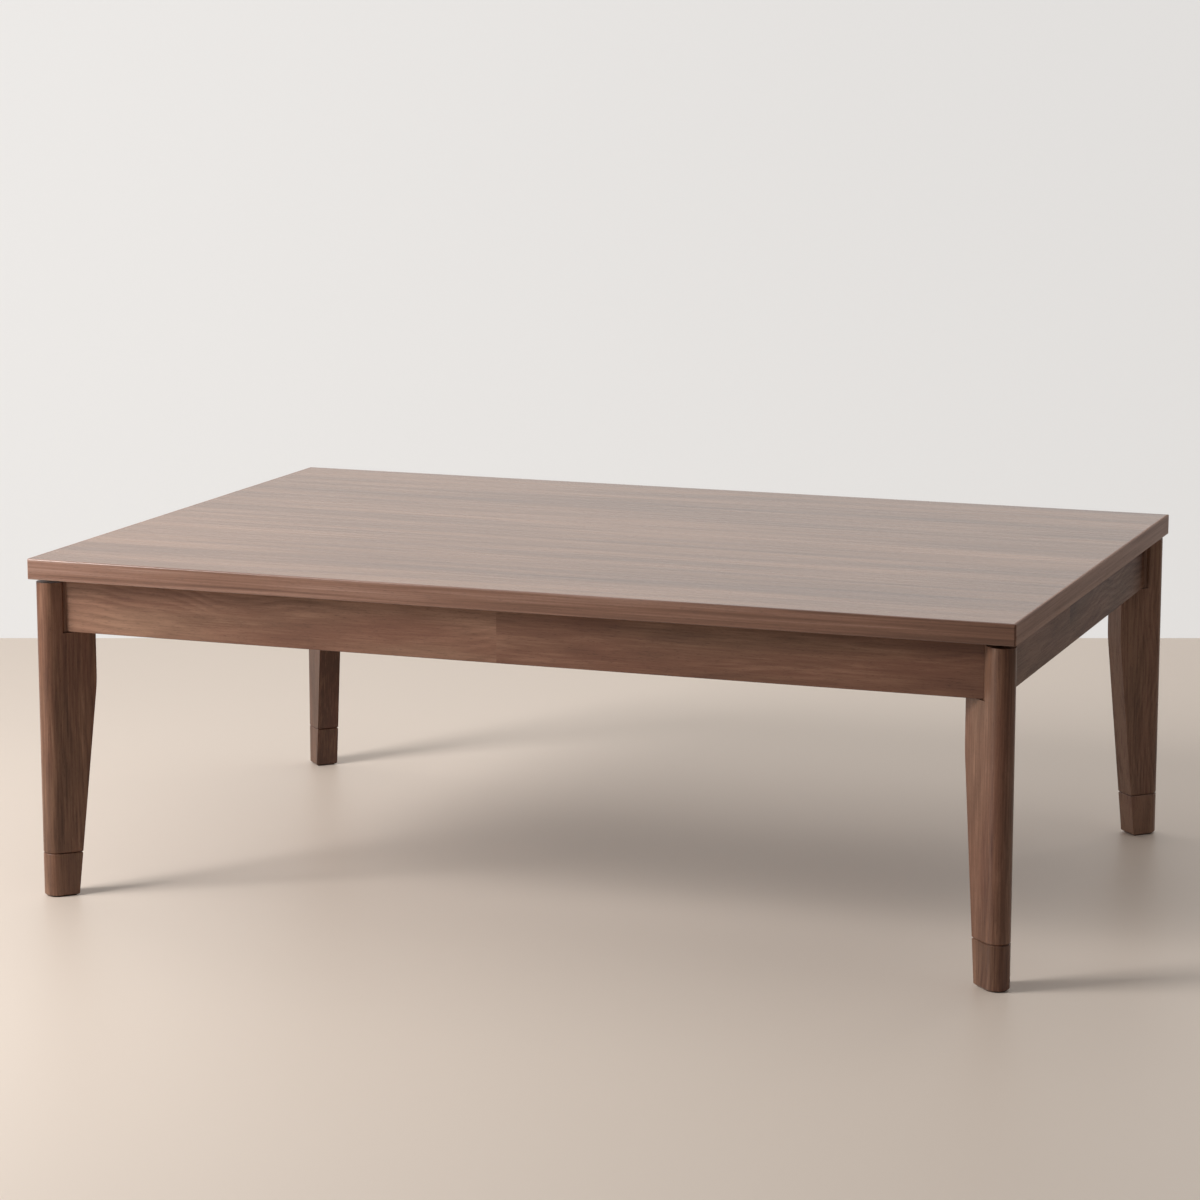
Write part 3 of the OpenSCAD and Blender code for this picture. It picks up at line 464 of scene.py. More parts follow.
# %% [markdown]
# ## The legs and feet
# Each leg is a blade of solid wood set on the diagonal, with its grain upright, and its screw-on
# foot is cut from the same stock. A leg's flat sides face along the diagonals, so the grain is
# turned with each leg, and the figure lies the same way round on all four.

# %% Wood for the legs and feet
CORNERS = {"front_left": (-1, -1), "front_right": (1, -1), "back_left": (-1, 1), "back_right": (1, 1)}


def upright_turn(sx, sy):
    """Brings a leg's height to X, and its flat sides to the Y direction of the board."""
    swing = Matrix.Rotation(-math.atan2(sy, sx), 3, "Z")
    return tuple((Matrix.Rotation(math.radians(90), 3, "Y") @ swing).to_euler("XYZ"))


TURNED = dict(ring=0.007, figure=0.17, fibre=1.3, rough=0.42, lacquer=0.3)
# Each leg's darkening is partly its board's own tone and partly painted light and shade: the back left leg
# is darkened as painted shade, and the back right lightened as painted light.
LEG_TONE_AND_SHADE = {"front_left": 0.05, "front_right": -0.04, "back_left": 0.36, "back_right": -0.28}
LEG_PITH, FOOT_PITH = (0.03, 0.05), (0.04, -0.04)
FIRST_SEED, SEED_STEP, FOOT_SEED = 20.0, 3.7, 1.9
FOOT_DARKER = 0.03
for number, (corner, (sx, sy)) in enumerate(CORNERS.items()):
    turn = upright_turn(sx, sy)
    seed = FIRST_SEED + SEED_STEP * number
    leg, foot, dark = "leg_" + corner, "extension_" + corner, LEG_TONE_AND_SHADE[corner]
    leg_wood = solid_wood(
        "leg_wood_" + corner, turn, middle_of(leg), LEG_PITH, seed, dark=dark, **TURNED)
    foot_wood = solid_wood(
        "foot_wood_" + corner, turn, middle_of(foot), FOOT_PITH, seed + FOOT_SEED,
        dark=dark + FOOT_DARKER, **TURNED)
    dress(leg_wood, leg)
    dress(foot_wood, foot)
print("legs and feet stained")

# %% [markdown]
# ## The tabletop
# The top is a core of fibreboard with a sliced veneer over it. Sliced veneer has straight, even
# grain, so its lines are stretched noise rather than rings: broad soft bands, finer streaks and
# hair-fine fibres, all along the length. The lacquer is satin, and at a low angle it mirrors the
# pale room, which is what greys the brown.

# %% Veneer
VENEER_PORE = tone("#35221A")
GRAIN_WANDER = 0.012


def straight_grain(
        name, turn, seed, tones, rough=0.36, coat=0.25, coat_rough=0.28, ior=1.5, painted_falloff=0.0,
        shares=(0.8, 1.0, 0.8, 0.5, 0.4)):
    """Sliced veneer or banding with its grain along the board.

    Each stretch is a number of patches per metre along the board and across it. shares weighs the
    figure from broad bands to hair-fine fibres, and painted_falloff darkens it along the board, as
    painted light falling off.
    """
    wood = Finish(name, ior=ior, coat_weight=coat, coat_roughness=coat_rough)
    place = board_place(wood, turn, (0.0, 0.0, 0.0))
    wander = wood.cloud(wood.stretched(place, (1.1, 3.0, 3.0), (seed, 0.0, 0.0)), 1.0) - 0.5
    push = wood.node("CombineXYZ", {}, {1: wander * GRAIN_WANDER})
    bent = wood.node("VectorMath", {"operation": "ADD"}, {0: place, 1: push})
    bands = wood.cloud(wood.stretched(bent, (0.8, 13.0, 13.0), (seed, 1.0, seed)), 1.5)
    strips = wood.cloud(wood.stretched(bent, (3.0, 42.0, 42.0), (seed, 0.0, 7.0)), 1.5)
    lines = wood.cloud(wood.stretched(bent, (2.6, 105.0, 105.0), (0.0, seed, 4.0)), 2.5, 0.55)
    threads = wood.cloud(wood.stretched(bent, (4.0, 260.0, 260.0), (seed, 5.0, 3.0)), 2.0)
    fibres = wood.cloud(wood.stretched(bent, (6.0, 680.0, 680.0), (seed, 2.0, 0.0)), 3.0, 0.6)
    pores = wood.cloud(wood.stretched(bent, (120.0, 2400.0, 2400.0), (0.0, seed, 0.0)), 1.0)
    pores = pores.ease(*PORES)
    along = Socket(wood, wood.node("SeparateXYZ", {}, {0: place}).output)
    shade = along * painted_falloff + 0.45
    for figure, share in zip((bands, strips, lines, threads, fibres), shares):
        shade = shade + (figure - 0.5) * share
    wood.set(
        base_color=wood.blend(pores * PORE_SHARE, by_shade(wood, shade, tones), VENEER_PORE),
        roughness=fibres * 0.10 + lines * 0.06 + pores * 0.1 + (rough - 0.08),
        normal=wood.relief(fibres * 0.5 - pores * 0.8, 0.0001, 0.3))
    return wood.material


print("veneer is grown in five sizes of figure, from bands to fibres")

# %% [markdown]
# The face is one sheet of veneer, calm and a little lighter than the frame. The bands glued round
# the edge are plainer strips with finer lines, and the end bands are duller. One material for all
# would be quicker, but the seam between face and band would be lost. The backing sheet under the
# top has hardly any figure, because it is there only against warping.

# %% Face, bands and backing
VENEER = (tone("#A3775A"), tone("#845B40"), tone("#63402C"))
# BANDING's light tone is pale and greyish: where the long bands show it, at their left ends, it is partly
# painted sheen of the left windows.
BANDING = (tone("#9F7D6D"), tone("#7E5947"), tone("#553829"))
END_BANDING = (tone("#AD8771"), tone("#95705E"), tone("#704F3F"))
FINE = (0.3, 0.5, 1.0, 1.0, 0.8)
FAINT = (0.3, 0.3, 0.3, 0.2, 0.2)
CALM = (0.9, 1.2, 0.45, 0.1, 0.15)
face = straight_grain(
    "veneer_satin", TURN_X, 2.2, VENEER, rough=0.28, coat=0.36, coat_rough=0.2, shares=CALM)
# The long bands' painted_falloff lightens their left ends and darkens their right: painted light falling off
# from the left.
long_band = straight_grain(
    "banding_long", TURN_X, 7.9, BANDING, coat=0.5, coat_rough=0.25, painted_falloff=0.45, shares=FINE)
end_band = straight_grain(
    "banding_short", TURN_Y, 9.4, END_BANDING, rough=0.5, coat=0.0, ior=SATIN_IOR, shares=FINE)
backing = straight_grain("backing_dull", TURN_X, 15.0, BANDING, rough=0.6, coat=0.0, shares=FAINT)
dress(face, "top_veneer")
dress(long_band, "edge_band_front", "edge_band_back")
dress(end_band, "edge_band_left", "edge_band_right")
dress(backing, "top_backing")
print("tabletop finished:", [finish.name for finish in (face, long_band, end_band, backing)])

# %% [markdown]
# ## Finishes for the small parts
# Metal, enamel, rubber and ceramic have no grain to grow, but none of them is one flat colour:
# rolling, plating, moulding and handling leave soft mottling, and a fine relief that breaks up
# the shine. One recipe covers them all. Stretching the noise along one axis turns mottling into
# the lines of rolled or brushed metal.

# %% A worked surface
FINER = 9.0


def worked(name, light, dark, size, rough, spread=0.1, relief=0.00003, stretch=(1, 1, 1), **shader):
    """Two close tones in soft patches of about size, in metres, with a fine relief.

    rough is the middle roughness and spread is how far it varies. relief is a depth in metres.
    """
    skin = Finish(name, **shader)
    place = skin.place()
    patches = skin.cloud(skin.stretched(place, tuple(s / size for s in stretch)), 3.0, 0.6)
    fine = skin.cloud(skin.stretched(place, tuple(s * FINER / size for s in stretch)), 2.0)
    skin.set(
        base_color=skin.blend(patches.ease(0.3, 0.7), tone(light), tone(dark)),
        roughness=(patches - 0.5) * spread + (fine - 0.5) * spread + rough,
        normal=skin.relief(fine + patches * 0.5, relief, 0.5))
    return skin.material


print("a worked surface has fine patches", FINER, "times smaller than its broad ones")

# %% Metals
zinc = worked("zinc_plating", "#CFD2D0", "#B5B9BA", 0.012, 0.34, 0.16, metallic=0.75)
zinc_bolt = worked("zinc_fasteners", "#C6C9C6", "#A9ADAD", 0.004, 0.3, 0.14, 0.00001, metallic=0.75)
rolled = worked(
    "galvanised_strip", "#BEC1BF", "#9FA3A2", 0.008, 0.38, 0.2, metallic=0.75, stretch=(1, 1, 0.2))
mirror_sheet = worked(
    "bright_aluminium", "#DEE0E1", "#CCCFD1", 0.02, 0.2, 0.1, 0.00006, metallic=0.85)
brass = worked("turned_brass", "#C49C58", "#A98546", 0.003, 0.34, 0.15, metallic=0.8)
oxide_wire = worked("oxidised_wire", "#7B5B4A", "#5D463C", 0.002, 0.5, 0.2, 0.00001, metallic=0.7)
nickel = worked("nickel_pins", "#D6D2C7", "#C1BDB1", 0.003, 0.24, 0.1, 0.00001, metallic=0.8)
print("metals:", [m.name for m in (zinc, zinc_bolt, rolled, mirror_sheet, brass, oxide_wire, nickel)])

# %% Coatings, mouldings, boards and glass
enamel = worked(
    "black_enamel", "#2C2A29", "#232120", 0.006, 0.36, 0.12, 0.00004, coat_weight=0.2, coat_roughness=0.2)
wire_coat = worked("guard_powder_coat", "#3D3B39", "#32302F", 0.003, 0.45, 0.14, 0.00003)
grip = worked("grip_rubber", "#3B3937", "#302E2D", 0.002, 0.8, 0.15, 0.00005)
ceramic = worked("bare_ceramic", "#E9E4D8", "#DAD3C4", 0.004, 0.62, 0.15, 0.00003)
moulding = worked("heatproof_moulding", "#DDD9CE", "#CFCABD", 0.005, 0.5, 0.1, 0.00003)
black_resin = worked("black_resin", "#22201F", "#1A1918", 0.003, 0.48, 0.12, 0.00004)
sleeve = worked("glass_fibre_sleeve", "#93402F", "#7A3226", 0.0012, 0.7, 0.2, 0.00006)
mineral = worked("mineral_board", "#DDD7C9", "#C6BFAE", 0.006, 0.9, 0.1, 0.0003)
felt = worked("pressed_felt", "#54402F", "#3C2C21", 0.0012, 0.95, 0.05, 0.0004, sheen_weight=0.4)
fibreboard = worked("fibreboard_core", "#B79A72", "#9A7F5B", 0.0025, 0.9, 0.05, 0.0001)
quartz = worked(
    "clear_quartz", "#F4F2EE", "#ECE9E3", 0.01, 0.05, 0.03, 0.00001, transmission_weight=0.92, ior=1.46)
print("materials so far, the bare frame's own among them:", len(bpy.data.materials))

# %% [markdown]
# The rails are plain softwood, left bare because nobody sees them. They use the same growing
# sum as the aprons, in paler tones and with closer, stronger rings. All other frame pieces that
# keep their own shape get their finish here too.

# %% Bare rails and other frame pieces
PINE = (tone("#D3B58A"), tone("#C09C6D"), tone("#9C7649"))
PLAIN = dict(tones=PINE, ring=0.0046, figure=0.6, fibre=0.5, rough=0.62)
RAILS = {
    "cross_rail_left": (TURN_Y, (0.02, 0.03), 41.0),
    "cross_rail_right": (TURN_Y, (0.03, -0.02), 47.0),
    "heater_rail_front": (TURN_X, (0.01, 0.03), 53.0),
    "heater_rail_back": (TURN_X, (0.025, 0.02), 59.0),
}
for rail, (turn, pith, seed) in RAILS.items():
    dress(solid_wood(rail + "_wood", turn, middle_of(rail), pith, seed, **PLAIN), rail)
dress(worked("beech_dowel", "#CDAE80", "#B8976A", 0.002, 0.6), "rail_dowels")
dress(fibreboard, "top_core")
dress(zinc, *["corner_plate_" + corner for corner in CORNERS])
dress(zinc_bolt, "leg_bolt_washers")
dress(brass, "leg_inserts", "foot_inserts")
dress(enamel, "heater_case")
dress(mineral, "insulation_board")
dress(mirror_sheet, "reflector")
dress(quartz, "quartz_tubes")
dress(ceramic, "ceramic_caps", "terminal_block")
dress(rolled, "tube_bracket_left", "tube_bracket_right")
dress(moulding, "thermostat", "thermal_fuse")
dress(black_resin, "inlet_housing")
dress(nickel, "inlet_pins")
dress(felt, *["foot_pad_" + corner for corner in CORNERS])
print("frame pieces dressed")

# %% [markdown]
# ## Shapes for turned and bent parts
# Screws, bolts and pads are turned, and wires are bent, so two ways of making a shape cover most
# of them: spin an outline round an axis, or carry a ring of points along a path. A shape is kept
# as plain points and faces until it is placed, so that one screw can be set thirty-two times.

# %% Spinning an outline
def turned(outline, steps):
    """Spins (radius, height) points round Z. A radius of 0 closes the end."""
    points, rings, faces = [], [], []
    for radius, height in outline:
        count = steps if radius > 0 else 1
        rings.append([len(points) + i for i in range(count)])
        for i in range(count):
            angle = 2 * math.pi * i / steps
            points.append(Vector((radius * math.cos(angle), radius * math.sin(angle), height)))
    for lower, upper in zip(rings, rings[1:]):
        for i in range(steps):
            quad = [lower[i % len(lower)], lower[(i + 1) % len(lower)],
                    upper[(i + 1) % len(upper)], upper[i % len(upper)]]
            faces.append(list(dict.fromkeys(quad)))
    return points, faces


def eased(radius, low, high, ease, steps=3):
    """The outline of a disc with rounded rims, from its lower middle to its upper middle."""
    arc = [math.radians(90 * i / steps) for i in range(steps + 1)]
    under = [(radius - ease + ease * math.sin(a), low + ease - ease * math.cos(a)) for a in arc]
    over = [(radius - ease + ease * math.cos(a), high - ease + ease * math.sin(a)) for a in arc]
    return [(0, low)] + under + over + [(0, high)]


print("an eased disc has", len(eased(5 * MM, 0.0, 2 * MM, 0.5 * MM)), "points in its outline")

# %% Setting a shape in its place
def placed(shape, matrix):
    points, faces = shape
    return [matrix @ p for p in points], faces


def facing(base, axis):
    """Stands a shape on base with its Z along axis."""
    return Matrix.Translation(base) @ Vector(axis).to_track_quat("Z", "Y").to_matrix().to_4x4()


print("a shape faces X by:", facing(Vector(), Vector((1, 0, 0))).to_euler())

# %% Carrying a ring along a path
def between(here, there, count):
    """Four-sided faces between two rings of count points, numbered from here and from there."""
    return [[here + i, here + (i + 1) % count, there + (i + 1) % count, there + i] for i in range(count)]


def ends(last, count):
    """Flat ends on the first ring and the last."""
    return [list(range(count))[::-1], list(range(last, last + count))]


def carried(path, ring, closed=False):
    """Carries a ring of (side, up) offsets along a path without twisting it."""
    count = len(path)
    ways = []
    for i in range(count):
        before = path[i - 1] if closed or i else path[0]
        after = path[(i + 1) % count] if closed or i < count - 1 else path[-1]
        ways.append((after - before).normalized())
    upright = abs(ways[0].z) > 0.9
    side = (ways[0].orthogonal() if upright else ways[0].cross(Vector((0, 0, 1)))).normalized()
    points, faces = [], []
    for place, way in zip(path, ways):
        side = (side - way * side.dot(way)).normalized()
        up = side.cross(way)
        points += [place + side * s + up * u for s, u in ring]
    n = len(ring)
    for i in range(count if closed else count - 1):
        faces += between(i * n, (i + 1) % count * n, n)
    if not closed:
        faces += ends((count - 1) * n, n)
    return points, faces


def round_ring(radius, sides):
    angles = [2 * math.pi * i / sides for i in range(sides)]
    return [(radius * math.cos(angle), radius * math.sin(angle)) for angle in angles]


def bent(points, radius, steps=5):
    """A path through points whose corners are rounded, as a wire is bent round a pin."""
    path = [points[0]]
    for before, corner, after in zip(points, points[1:], points[2:]):
        come, go = (before - corner), (after - corner)
        reach = min(radius, come.length / 2, go.length / 2)
        start, end = corner + come.normalized() * reach, corner + go.normalized() * reach
        for i in range(steps + 1):
            t = i / steps
            path.append(start * (1 - t) ** 2 + corner * 2 * t * (1 - t) + end * t ** 2)
    return path + [points[-1]]


print("a wire's round section of 12 sides:", len(round_ring(1 * MM, 12)), "points")

# %% From shapes to a piece
def piece(name, shapes, body, slot, material, *stands_for, crease=35):
    """Joins placed shapes into one piece that rides on a body."""
    points, faces = [], []
    for more, sides in shapes:
        faces += [[len(points) + i for i in face] for face in sides]
        points += more
    mesh = bpy.data.meshes.new(name)
    mesh.from_pydata(points, [], faces)
    mesh.polygons.foreach_set("use_smooth", [True] * len(faces))
    mesh.set_sharp_from_angle(angle=math.radians(crease))
    mesh.materials.append(material)
    made = bpy.data.objects.new(name, mesh)
    bpy.context.scene.collection.objects.link(made)
    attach(made, body)
    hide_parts(*stands_for)
    print(name, "has", len(shapes), "shapes and", len(faces), "faces")


# %% [markdown]
# ## Where the small parts go
# A frame piece such as the wood screws is many separate solids in one mesh. The places could be
# typed in again, but then they could drift from the frame. So the solids are told apart, by
# joining points that share a face, and each one is measured along its own axis.

# %% Finding and measuring solids
def loose_solids(node):
    """The separate solids of a frame piece, each as its list of points."""
    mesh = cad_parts[node].data
    spot = [tuple(round(c, 6) for c in v.co) for v in mesh.vertices]
    owner = {s: s for s in spot}

    def root(s):
        while owner[s] != s:
            owner[s] = owner[owner[s]]
            s = owner[s]
        return s

    for face in mesh.polygons:
        first = root(spot[face.vertices[0]])
        for v in face.vertices[1:]:
            owner[root(spot[v])] = first
    groups = {}
    for s in owner:
        groups.setdefault(root(s), []).append(Vector(s))
    return list(groups.values())


def stands(points, axis):
    """The point where a solid starts along axis, on its middle line, and its length."""
    low = Vector(min(p[i] for p in points) for i in range(3))
    high = Vector(max(p[i] for p in points) for i in range(3))
    middle = (low + high) / 2
    reach = [(p - middle).dot(axis) for p in points]
    return middle + axis * min(reach), max(reach) - min(reach)


def gauged(points, axis):
    """Where a fastener starts, then its head's radius and height, its shank's radius and its length."""
    base, length = stands(points, axis)
    spots = [((p - base).dot(axis), (p - base).cross(axis).length) for p in points]
    head_r = max(radius for along, radius in spots)
    head_h = max(along for along, radius in spots if radius > head_r * 0.95)
    shank_r = max(radius for along, radius in spots if along > length * 0.9)
    return base, (head_r, head_h, shank_r, length)


print("wood screws in the corner plates:", len(loose_solids("plate_screws")))

# %% [markdown]
# ## Wood screws
# A wood screw's head is turned, then a cross is struck into it. The cross could be cut with a
# boolean, but on a head of a few millimetres that leaves ragged faces. So the head's flat face is
# filled between its rim and the outline of the cross, and the cross goes down to a smaller floor.

# %% A screw with a cross in its head
def cross_screw(head_r, head_h, shank_r, length, steps=28):
    """Lies along Z: its head's face at 0, its tip at length."""
    shape = turned([
        (head_r * 0.72, 0), (head_r * 0.9, head_h * 0.12), (head_r, head_h * 0.42), (head_r, head_h * 0.8),
        (head_r * 0.93, head_h), (shank_r, head_h), (shank_r, length - 2.2 * shank_r), (0, length)], steps)
    arm, half, deep, taper = head_r * 0.52, head_r * 0.13, head_h * 0.6, 0.6
    cross = []
    for turn in range(4):
        swing = Matrix.Rotation(math.radians(90 * turn), 3, "Z")
        cross += [swing @ Vector(p) for p in ((half, -half, 0), (arm, -half, 0), (arm, half, 0))]
    sheet = bmesh.new()
    rim = [sheet.verts.new(p) for p in shape[0][:steps]]
    lip = [sheet.verts.new(p) for p in cross]
    edges = [sheet.edges.new((a, b)) for loop in (rim, lip) for a, b in zip(loop, loop[1:] + loop[:1])]
    bmesh.ops.triangle_fill(sheet, edges=edges, use_beauty=True)
    pit = [sheet.verts.new(v.co * taper + Vector((0, 0, deep))) for v in lip]
    for i in range(len(lip)):
        j = (i + 1) % len(lip)
        sheet.faces.new((lip[i], lip[j], pit[j], pit[i]))
    sheet.faces.new(pit)
    sheet.verts.index_update()
    face = [v.co.copy() for v in sheet.verts], [[v.index for v in f.verts] for f in sheet.faces]
    sheet.free()
    return [shape, face]


print("a cross-head screw is made of", len(cross_screw(4 * MM, 2 * MM, 1.5 * MM, 16 * MM)), "shapes")

# %% Setting the screws
def set_fasteners(name, node, shape_of, axis_of, crease):
    """Sets a screw or bolt at each solid of a frame piece, its head at the start of its axis."""
    shapes = []
    for points in loose_solids(node):
        axis = axis_of(points)
        base, sizes = gauged(points, axis)
        shapes += [placed(shape, facing(base, axis)) for shape in shape_of(*sizes)]
    print("head radius, head height, shank radius, length in mm:", [round(v / MM, 2) for v in sizes])
    piece(name, shapes, "frame", "zinc_fastener", zinc_bolt, node, crease=crease)


def outward(points):
    """The way into an apron from inside the table: along X or Y, whichever the screw lies on."""
    size = [max(p[i] for p in points) - min(p[i] for p in points) for i in range(3)]
    lie = size.index(max(size))
    return Vector([math.copysign(1.0, points[0][i]) if i == lie else 0.0 for i in range(3)])


def upward(points):
    return Vector((0, 0, 1))


SCREW_CREASE = 28
set_fasteners("plate_screws_cross", "plate_screws", cross_screw, outward, SCREW_CREASE)
set_fasteners("guard_screws_cross", "guard_screws", cross_screw, upward, SCREW_CREASE)
set_fasteners("case_screws_cross", "case_screws", cross_screw, upward, SCREW_CREASE)

# %% [markdown]
# ## Leg bolts
# Two bolts pull each leg into its corner plate. A hexagonal head is cut from bar and its face is
# turned to a cone, which leaves small arches on its six sides. Cutting one shape from another
# would give the same arches, but they follow from one rule: the further a point of a side lies
# from the axis, the further below the face the cone meets it. So each height is worked out from
# its radius.

# %% Bolts with a hexagonal head
def hex_bolt(head_r, head_h, shank_r, length, steps=48):
    """Lies along Z: its head's face at 0. head_r reaches to the head's corners."""
    cone, pinhole = math.radians(30), 0.1 * MM
    flat = head_r * math.cos(math.pi / 6)
    face = flat * 0.94
    points, faces = [], []
    for level in range(4):
        for i in range(steps):
            angle = 2 * math.pi * i / steps
            edge = flat / math.cos((angle + math.pi / 6) % (math.pi / 3) - math.pi / 6)
            radius = (pinhole, face, edge, edge)[level]
            height = (0, 0, (edge - face) * math.tan(cone), head_h)[level]
            points.append(Vector((radius * math.cos(angle), radius * math.sin(angle), height)))
    for level in range(3):
        faces += between((level + 1) * steps, level * steps, steps)
    shank = turned([(head_r * 0.8, head_h), (shank_r, head_h), (shank_r, length), (0, length)], 24)
    return [(points, faces), shank]


def cornerward(points):
    """The way from the middle of the table to the corner that a bolt points at."""
    return Vector((math.copysign(1, points[0].x), math.copysign(1, points[0].y), 0)).normalized()


BOLT_CREASE = 20
set_fasteners("leg_bolts_hex", "leg_bolts", hex_bolt, cornerward, BOLT_CREASE)

# %% [markdown]
# ## Threaded rods
# Each foot screws into its leg on a rod that is threaded from end to end. A screw modifier would
# wind a groove, but its ends would need trimming. Here every point of the rod's surface knows how
# many turns up it is, and sinks by how far it lies from the thread's crest. The thread runs out at
# both ends.

# %% A thread
def threaded(radius, length, pitch=1.25 * MM, depth=0.55 * MM, steps=24, cuts=6):
    """A rod along Z with a thread that runs out at both ends."""
    rows = int(length / pitch * cuts)
    points, faces = [], []
    for row in range(rows + 1):
        height = length * row / rows
        run_out = min(1.0, height / pitch, (length - height) / pitch)
        for i in range(steps):
            turns = height / pitch - i / steps
            dip = abs(2 * (turns - math.floor(turns)) - 1) * depth
            r = radius - dip - (1 - run_out) * depth * 0.6
            angle = 2 * math.pi * i / steps
            points.append(Vector((r * math.cos(angle), r * math.sin(angle), height)))
    for row in range(rows):
        faces += between(row * steps, (row + 1) * steps, steps)
    faces += ends(rows * steps, steps)
    return points, faces


THREAD_CREASE = 60
for corner in CORNERS:
    node, body = "hanger_bolt_" + corner, "leg_extension_" + corner
    low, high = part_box(node)
    base = Vector(((low.x + high.x) / 2, (low.y + high.y) / 2, low.z))
    rod = placed(threaded((high.x - low.x) / 2, high.z - low.z), Matrix.Translation(base))
    piece("hanger_thread_" + corner, [rod], body, "zinc_fastener", zinc_bolt, node, crease=THREAD_CREASE)

# %% [markdown]
# ## Grip pads
# Small rubber discs on the aprons stop the loose top from sliding. They are moulded, with soft
# rims and two raised circles that press into the underside. The circles could be relief in the
# finish, but then the pads would be flat from the side. So the turned outline steps up and down
# between the disc's face and its full height.

# %% Rubber discs
CIRCLES = ((0.8, 0), (0.74, 1), (0.66, 1), (0.6, 0), (0.43, 0), (0.37, 1), (0.29, 1), (0.23, 0))
FACE_SHARE, RIM_SHARE, PAD_SIDES = 0.8, 0.05, 36
pads = []
for points in loose_solids("grip_pads"):
    base, (radius, thick, _, _) = gauged(points, upward(points))
    flat = thick * FACE_SHARE
    rim = eased(radius, 0, flat, radius * RIM_SHARE)[:-1]
    top = [(radius * out, thick if raised else flat) for out, raised in CIRCLES]
    pads.append(placed(turned(rim + top + [(0, flat)], PAD_SIDES), Matrix.Translation(base)))
piece("grip_discs", pads, "frame", "grip_rubber", grip, "grip_pads")

# %% [markdown]
# ## The heater's guard
# The guard keeps quilt and feet off the hot tubes. It is welded from straight wires, laid in two
# crossing layers, on a flat ring. Wires could be curves with a bevel, but carrying a section
# along a path gives one clean mesh, and the same helper winds the coils and bends the leads.

# %% The guard's two sections
def rounded_square(width, radius, height, steps=8):
    path = []
    for quarter in range(4):
        swing = Matrix.Rotation(math.radians(90 * quarter), 3, "Z")
        for i in range(steps + 1):
            angle = math.radians(90 * i / steps)
            arc = Vector((math.cos(angle), math.sin(angle), 0)) * radius
            path.append(swing @ (Vector((width / 2 - radius, width / 2 - radius, height)) + arc))
    return path


def flat_ring(width, thick, ease):
    """The section of a flat strip with eased edges."""
    corner = [(width / 2 - ease + ease * math.cos(a), thick / 2 - ease + ease * math.sin(a))
              for a in (0, math.pi / 4, math.pi / 2)]
    left = [(-s, u) for s, u in reversed(corner)]
    return corner + left + [(-s, -u) for s, u in corner] + [(s, -u) for s, u in reversed(corner)]


RIM_WIDE, RIM_THICK, RIM_CORNER, RIM_EASE = 9 * MM, 1.2 * MM, 10 * MM, 0.35 * MM
strip = flat_ring(RIM_WIDE, RIM_THICK, RIM_EASE)
print("the ring's strip has", len(strip), "points round its section")

# %% Guard
WIRE_R, WIRE_SIDES = 1 * MM, 12
LONG_WIRES, CROSS_WIRES = 10, 1
LAST_WIRE_IN, CROSS_SHARE = 11.5 * MM, 0.4835
LAYER = 1.75 * WIRE_R
low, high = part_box("heater_guard")
case_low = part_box("heater_case")[0].z
reach = high.x - RIM_WIDE / 2
rim = rounded_square(reach * 2, RIM_CORNER, case_low - RIM_THICK / 2)
guard = [carried(rim, strip, True)]
wire = round_ring(WIRE_R, WIRE_SIDES)
last_wire = reach - LAST_WIRE_IN
wire_z = low.z + WIRE_R
for i in range(-LONG_WIRES, LONG_WIRES + 1):
    y = last_wire * i / LONG_WIRES
    guard.append(carried([Vector((x, y, wire_z)) for x in (-reach, reach)], wire))
for i in range(-CROSS_WIRES, CROSS_WIRES + 1):
    x, overlap, above = i * reach * CROSS_SHARE, last_wire + WIRE_R, wire_z + LAYER
    guard.append(carried([Vector((x, y, above)) for y in (-overlap, overlap)], wire))
piece("guard_wires", guard, "frame", "guard_wire", wire_coat, "heater_guard")

# %% [markdown]
# ## The heating coils
# Inside each quartz tube lies a coil of thin resistance wire, with a straight tail at both ends.
# A screw modifier could wind it, but a plain path of points does the same, and it takes the tails
# along. The coils keep inside the plain rods that they stand for.

# %% Coils in the tubes
COIL_WIRE_R, COIL_WIRE_SIDES = 0.3 * MM, 6
TURNS, STEPS_A_TURN = 96, 14
TAIL_IN, WOUND_IN = 1 * MM, 12 * MM
COIL_CREASE = 70
low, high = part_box("heating_coils")
coil_z, coil_r = (low.z + high.z) / 2, (high.z - low.z) / 2 - COIL_WIRE_R
coil_y = high.y - (high.z - low.z) / 2
tail, wound = high.x - TAIL_IN, high.x - WOUND_IN
coils = []
for side in (-1, 1):
    path = [Vector((-tail, side * coil_y, coil_z))]
    for i in range(TURNS * STEPS_A_TURN + 1):
        angle = 2 * math.pi * i / STEPS_A_TURN
        x = wound * (2 * i / (TURNS * STEPS_A_TURN) - 1)
        path.append(Vector((x, side * coil_y + coil_r * math.cos(angle), coil_z + coil_r * math.sin(angle))))
    path.append(Vector((tail, side * coil_y, coil_z)))
    coils.append(carried(path, round_ring(COIL_WIRE_R, COIL_WIRE_SIDES)))
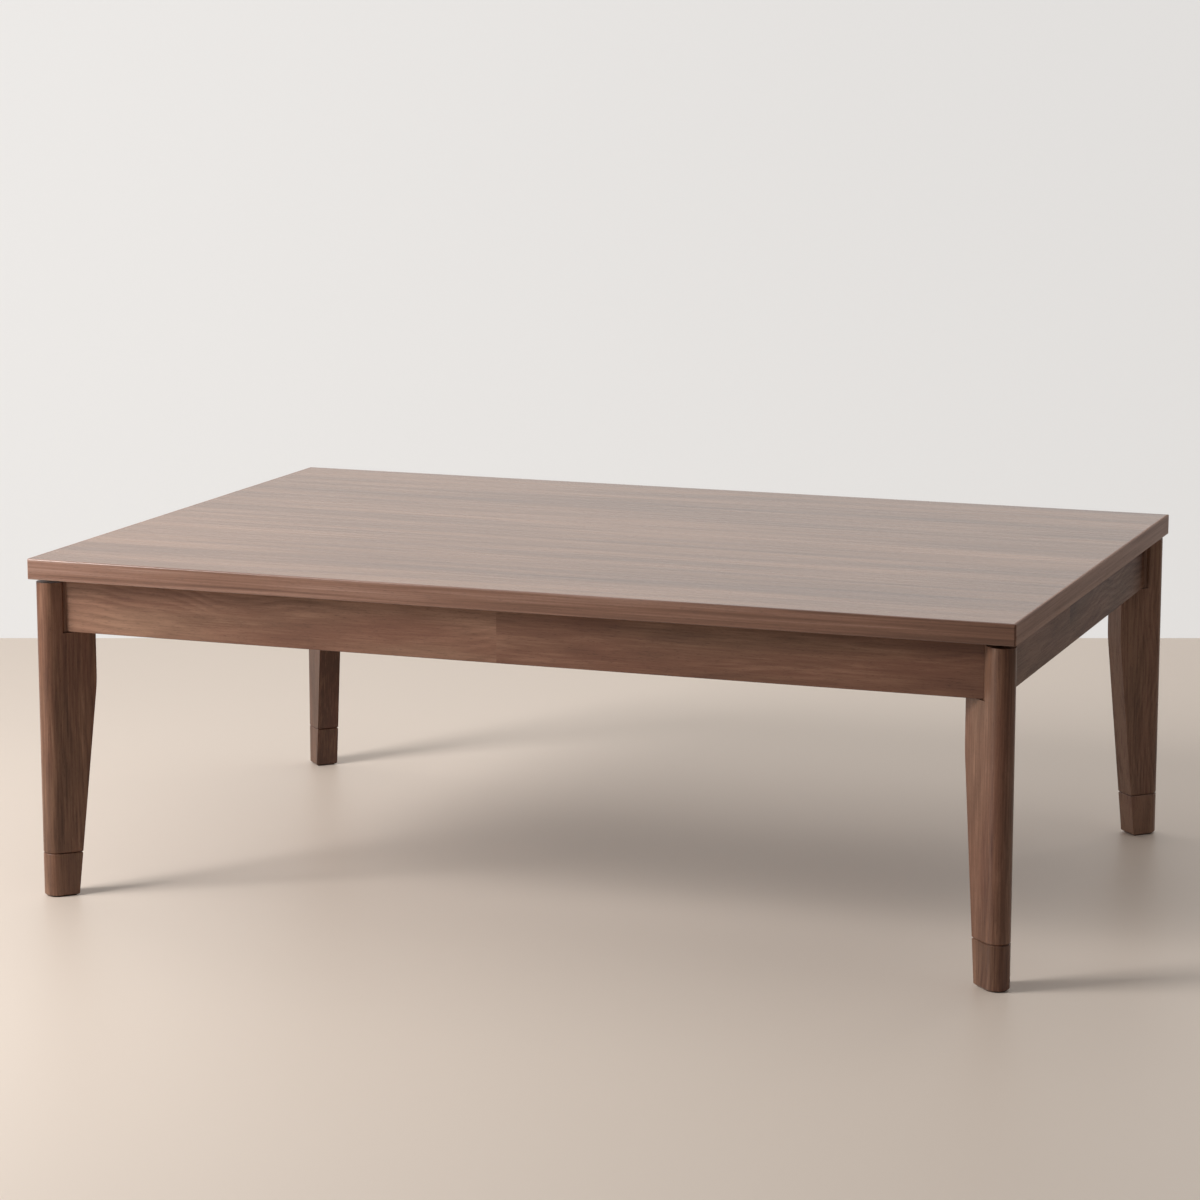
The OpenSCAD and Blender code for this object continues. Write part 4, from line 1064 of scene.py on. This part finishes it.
piece("wound_coils", coils, "frame", "coil_wire", oxide_wire, "heating_coils", crease=COIL_CREASE)

# %% [markdown]
# ## The leads
# Sleeved leads join the inlet to the terminal block. From there one goes through the thermostat
# and one through the fuse, each to the caps at one end of the tubes. A lead is stiff, so it runs
# straight and turns in easy bends. Each stop is read from the part that it meets, so that no end
# is left in the air.

# %% Leads
LEAD_R, LEAD_SIDES, LEAD_BEND = 1.1 * MM, 10, 4 * MM
PAST_PINS, BITE = 2.5 * MM, 2 * MM


def lead(*stops):
    """An insulated lead through stops, bent round easy corners."""
    return carried(bent([Vector(stop) for stop in stops], LEAD_BEND), round_ring(LEAD_R, LEAD_SIDES))


pins_low, pins_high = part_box("inlet_pins")
block_low, block_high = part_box("terminal_block")
switch_low, switch_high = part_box("thermostat")
fuse_low, fuse_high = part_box("thermal_fuse")
pin_z, pin_x = (pins_low.z + pins_high.z) / 2, pins_high.x - (pins_high.z - pins_low.z) / 2
level = (block_low.z + block_high.z) / 2
row = (fuse_low.y + fuse_high.y) / 2
cap_x, cap_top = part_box("inner_leads")[1].x - LEAD_R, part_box("ceramic_caps")[1].z
bend_y = pins_low.y - PAST_PINS
leads = []
for side in (-1, 1):
    x, cap = side * pin_x, side * cap_x
    leads.append(lead(
        (x, pins_low.y, pin_z), (x, bend_y, pin_z), (x, bend_y, level), (x, block_high.y, level)))
    leads.append(lead(
        (cap, -coil_y, cap_top), (cap, -coil_y, level), (cap, coil_y, level), (cap, coil_y, cap_top)))
    near = switch_high.x - BITE if side < 0 else fuse_low.x
    past = switch_low.x + BITE if side < 0 else fuse_high.x
    leads.append(lead((x, block_low.y, level), (x, row, level), (near, row, level)))
    leads.append(lead((past, row, level), (cap, row, level)))
piece("sleeved_leads", leads, "frame", "lead_sleeve", sleeve, "inner_leads")

# %% [markdown]
# ## The end
# The dressed table must still fill the same box as the bare one, so its box is printed.

# %% Sizes
low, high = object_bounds()
print("dressed box:", [round(v, 4) for v in low], [round(v, 4) for v in high])
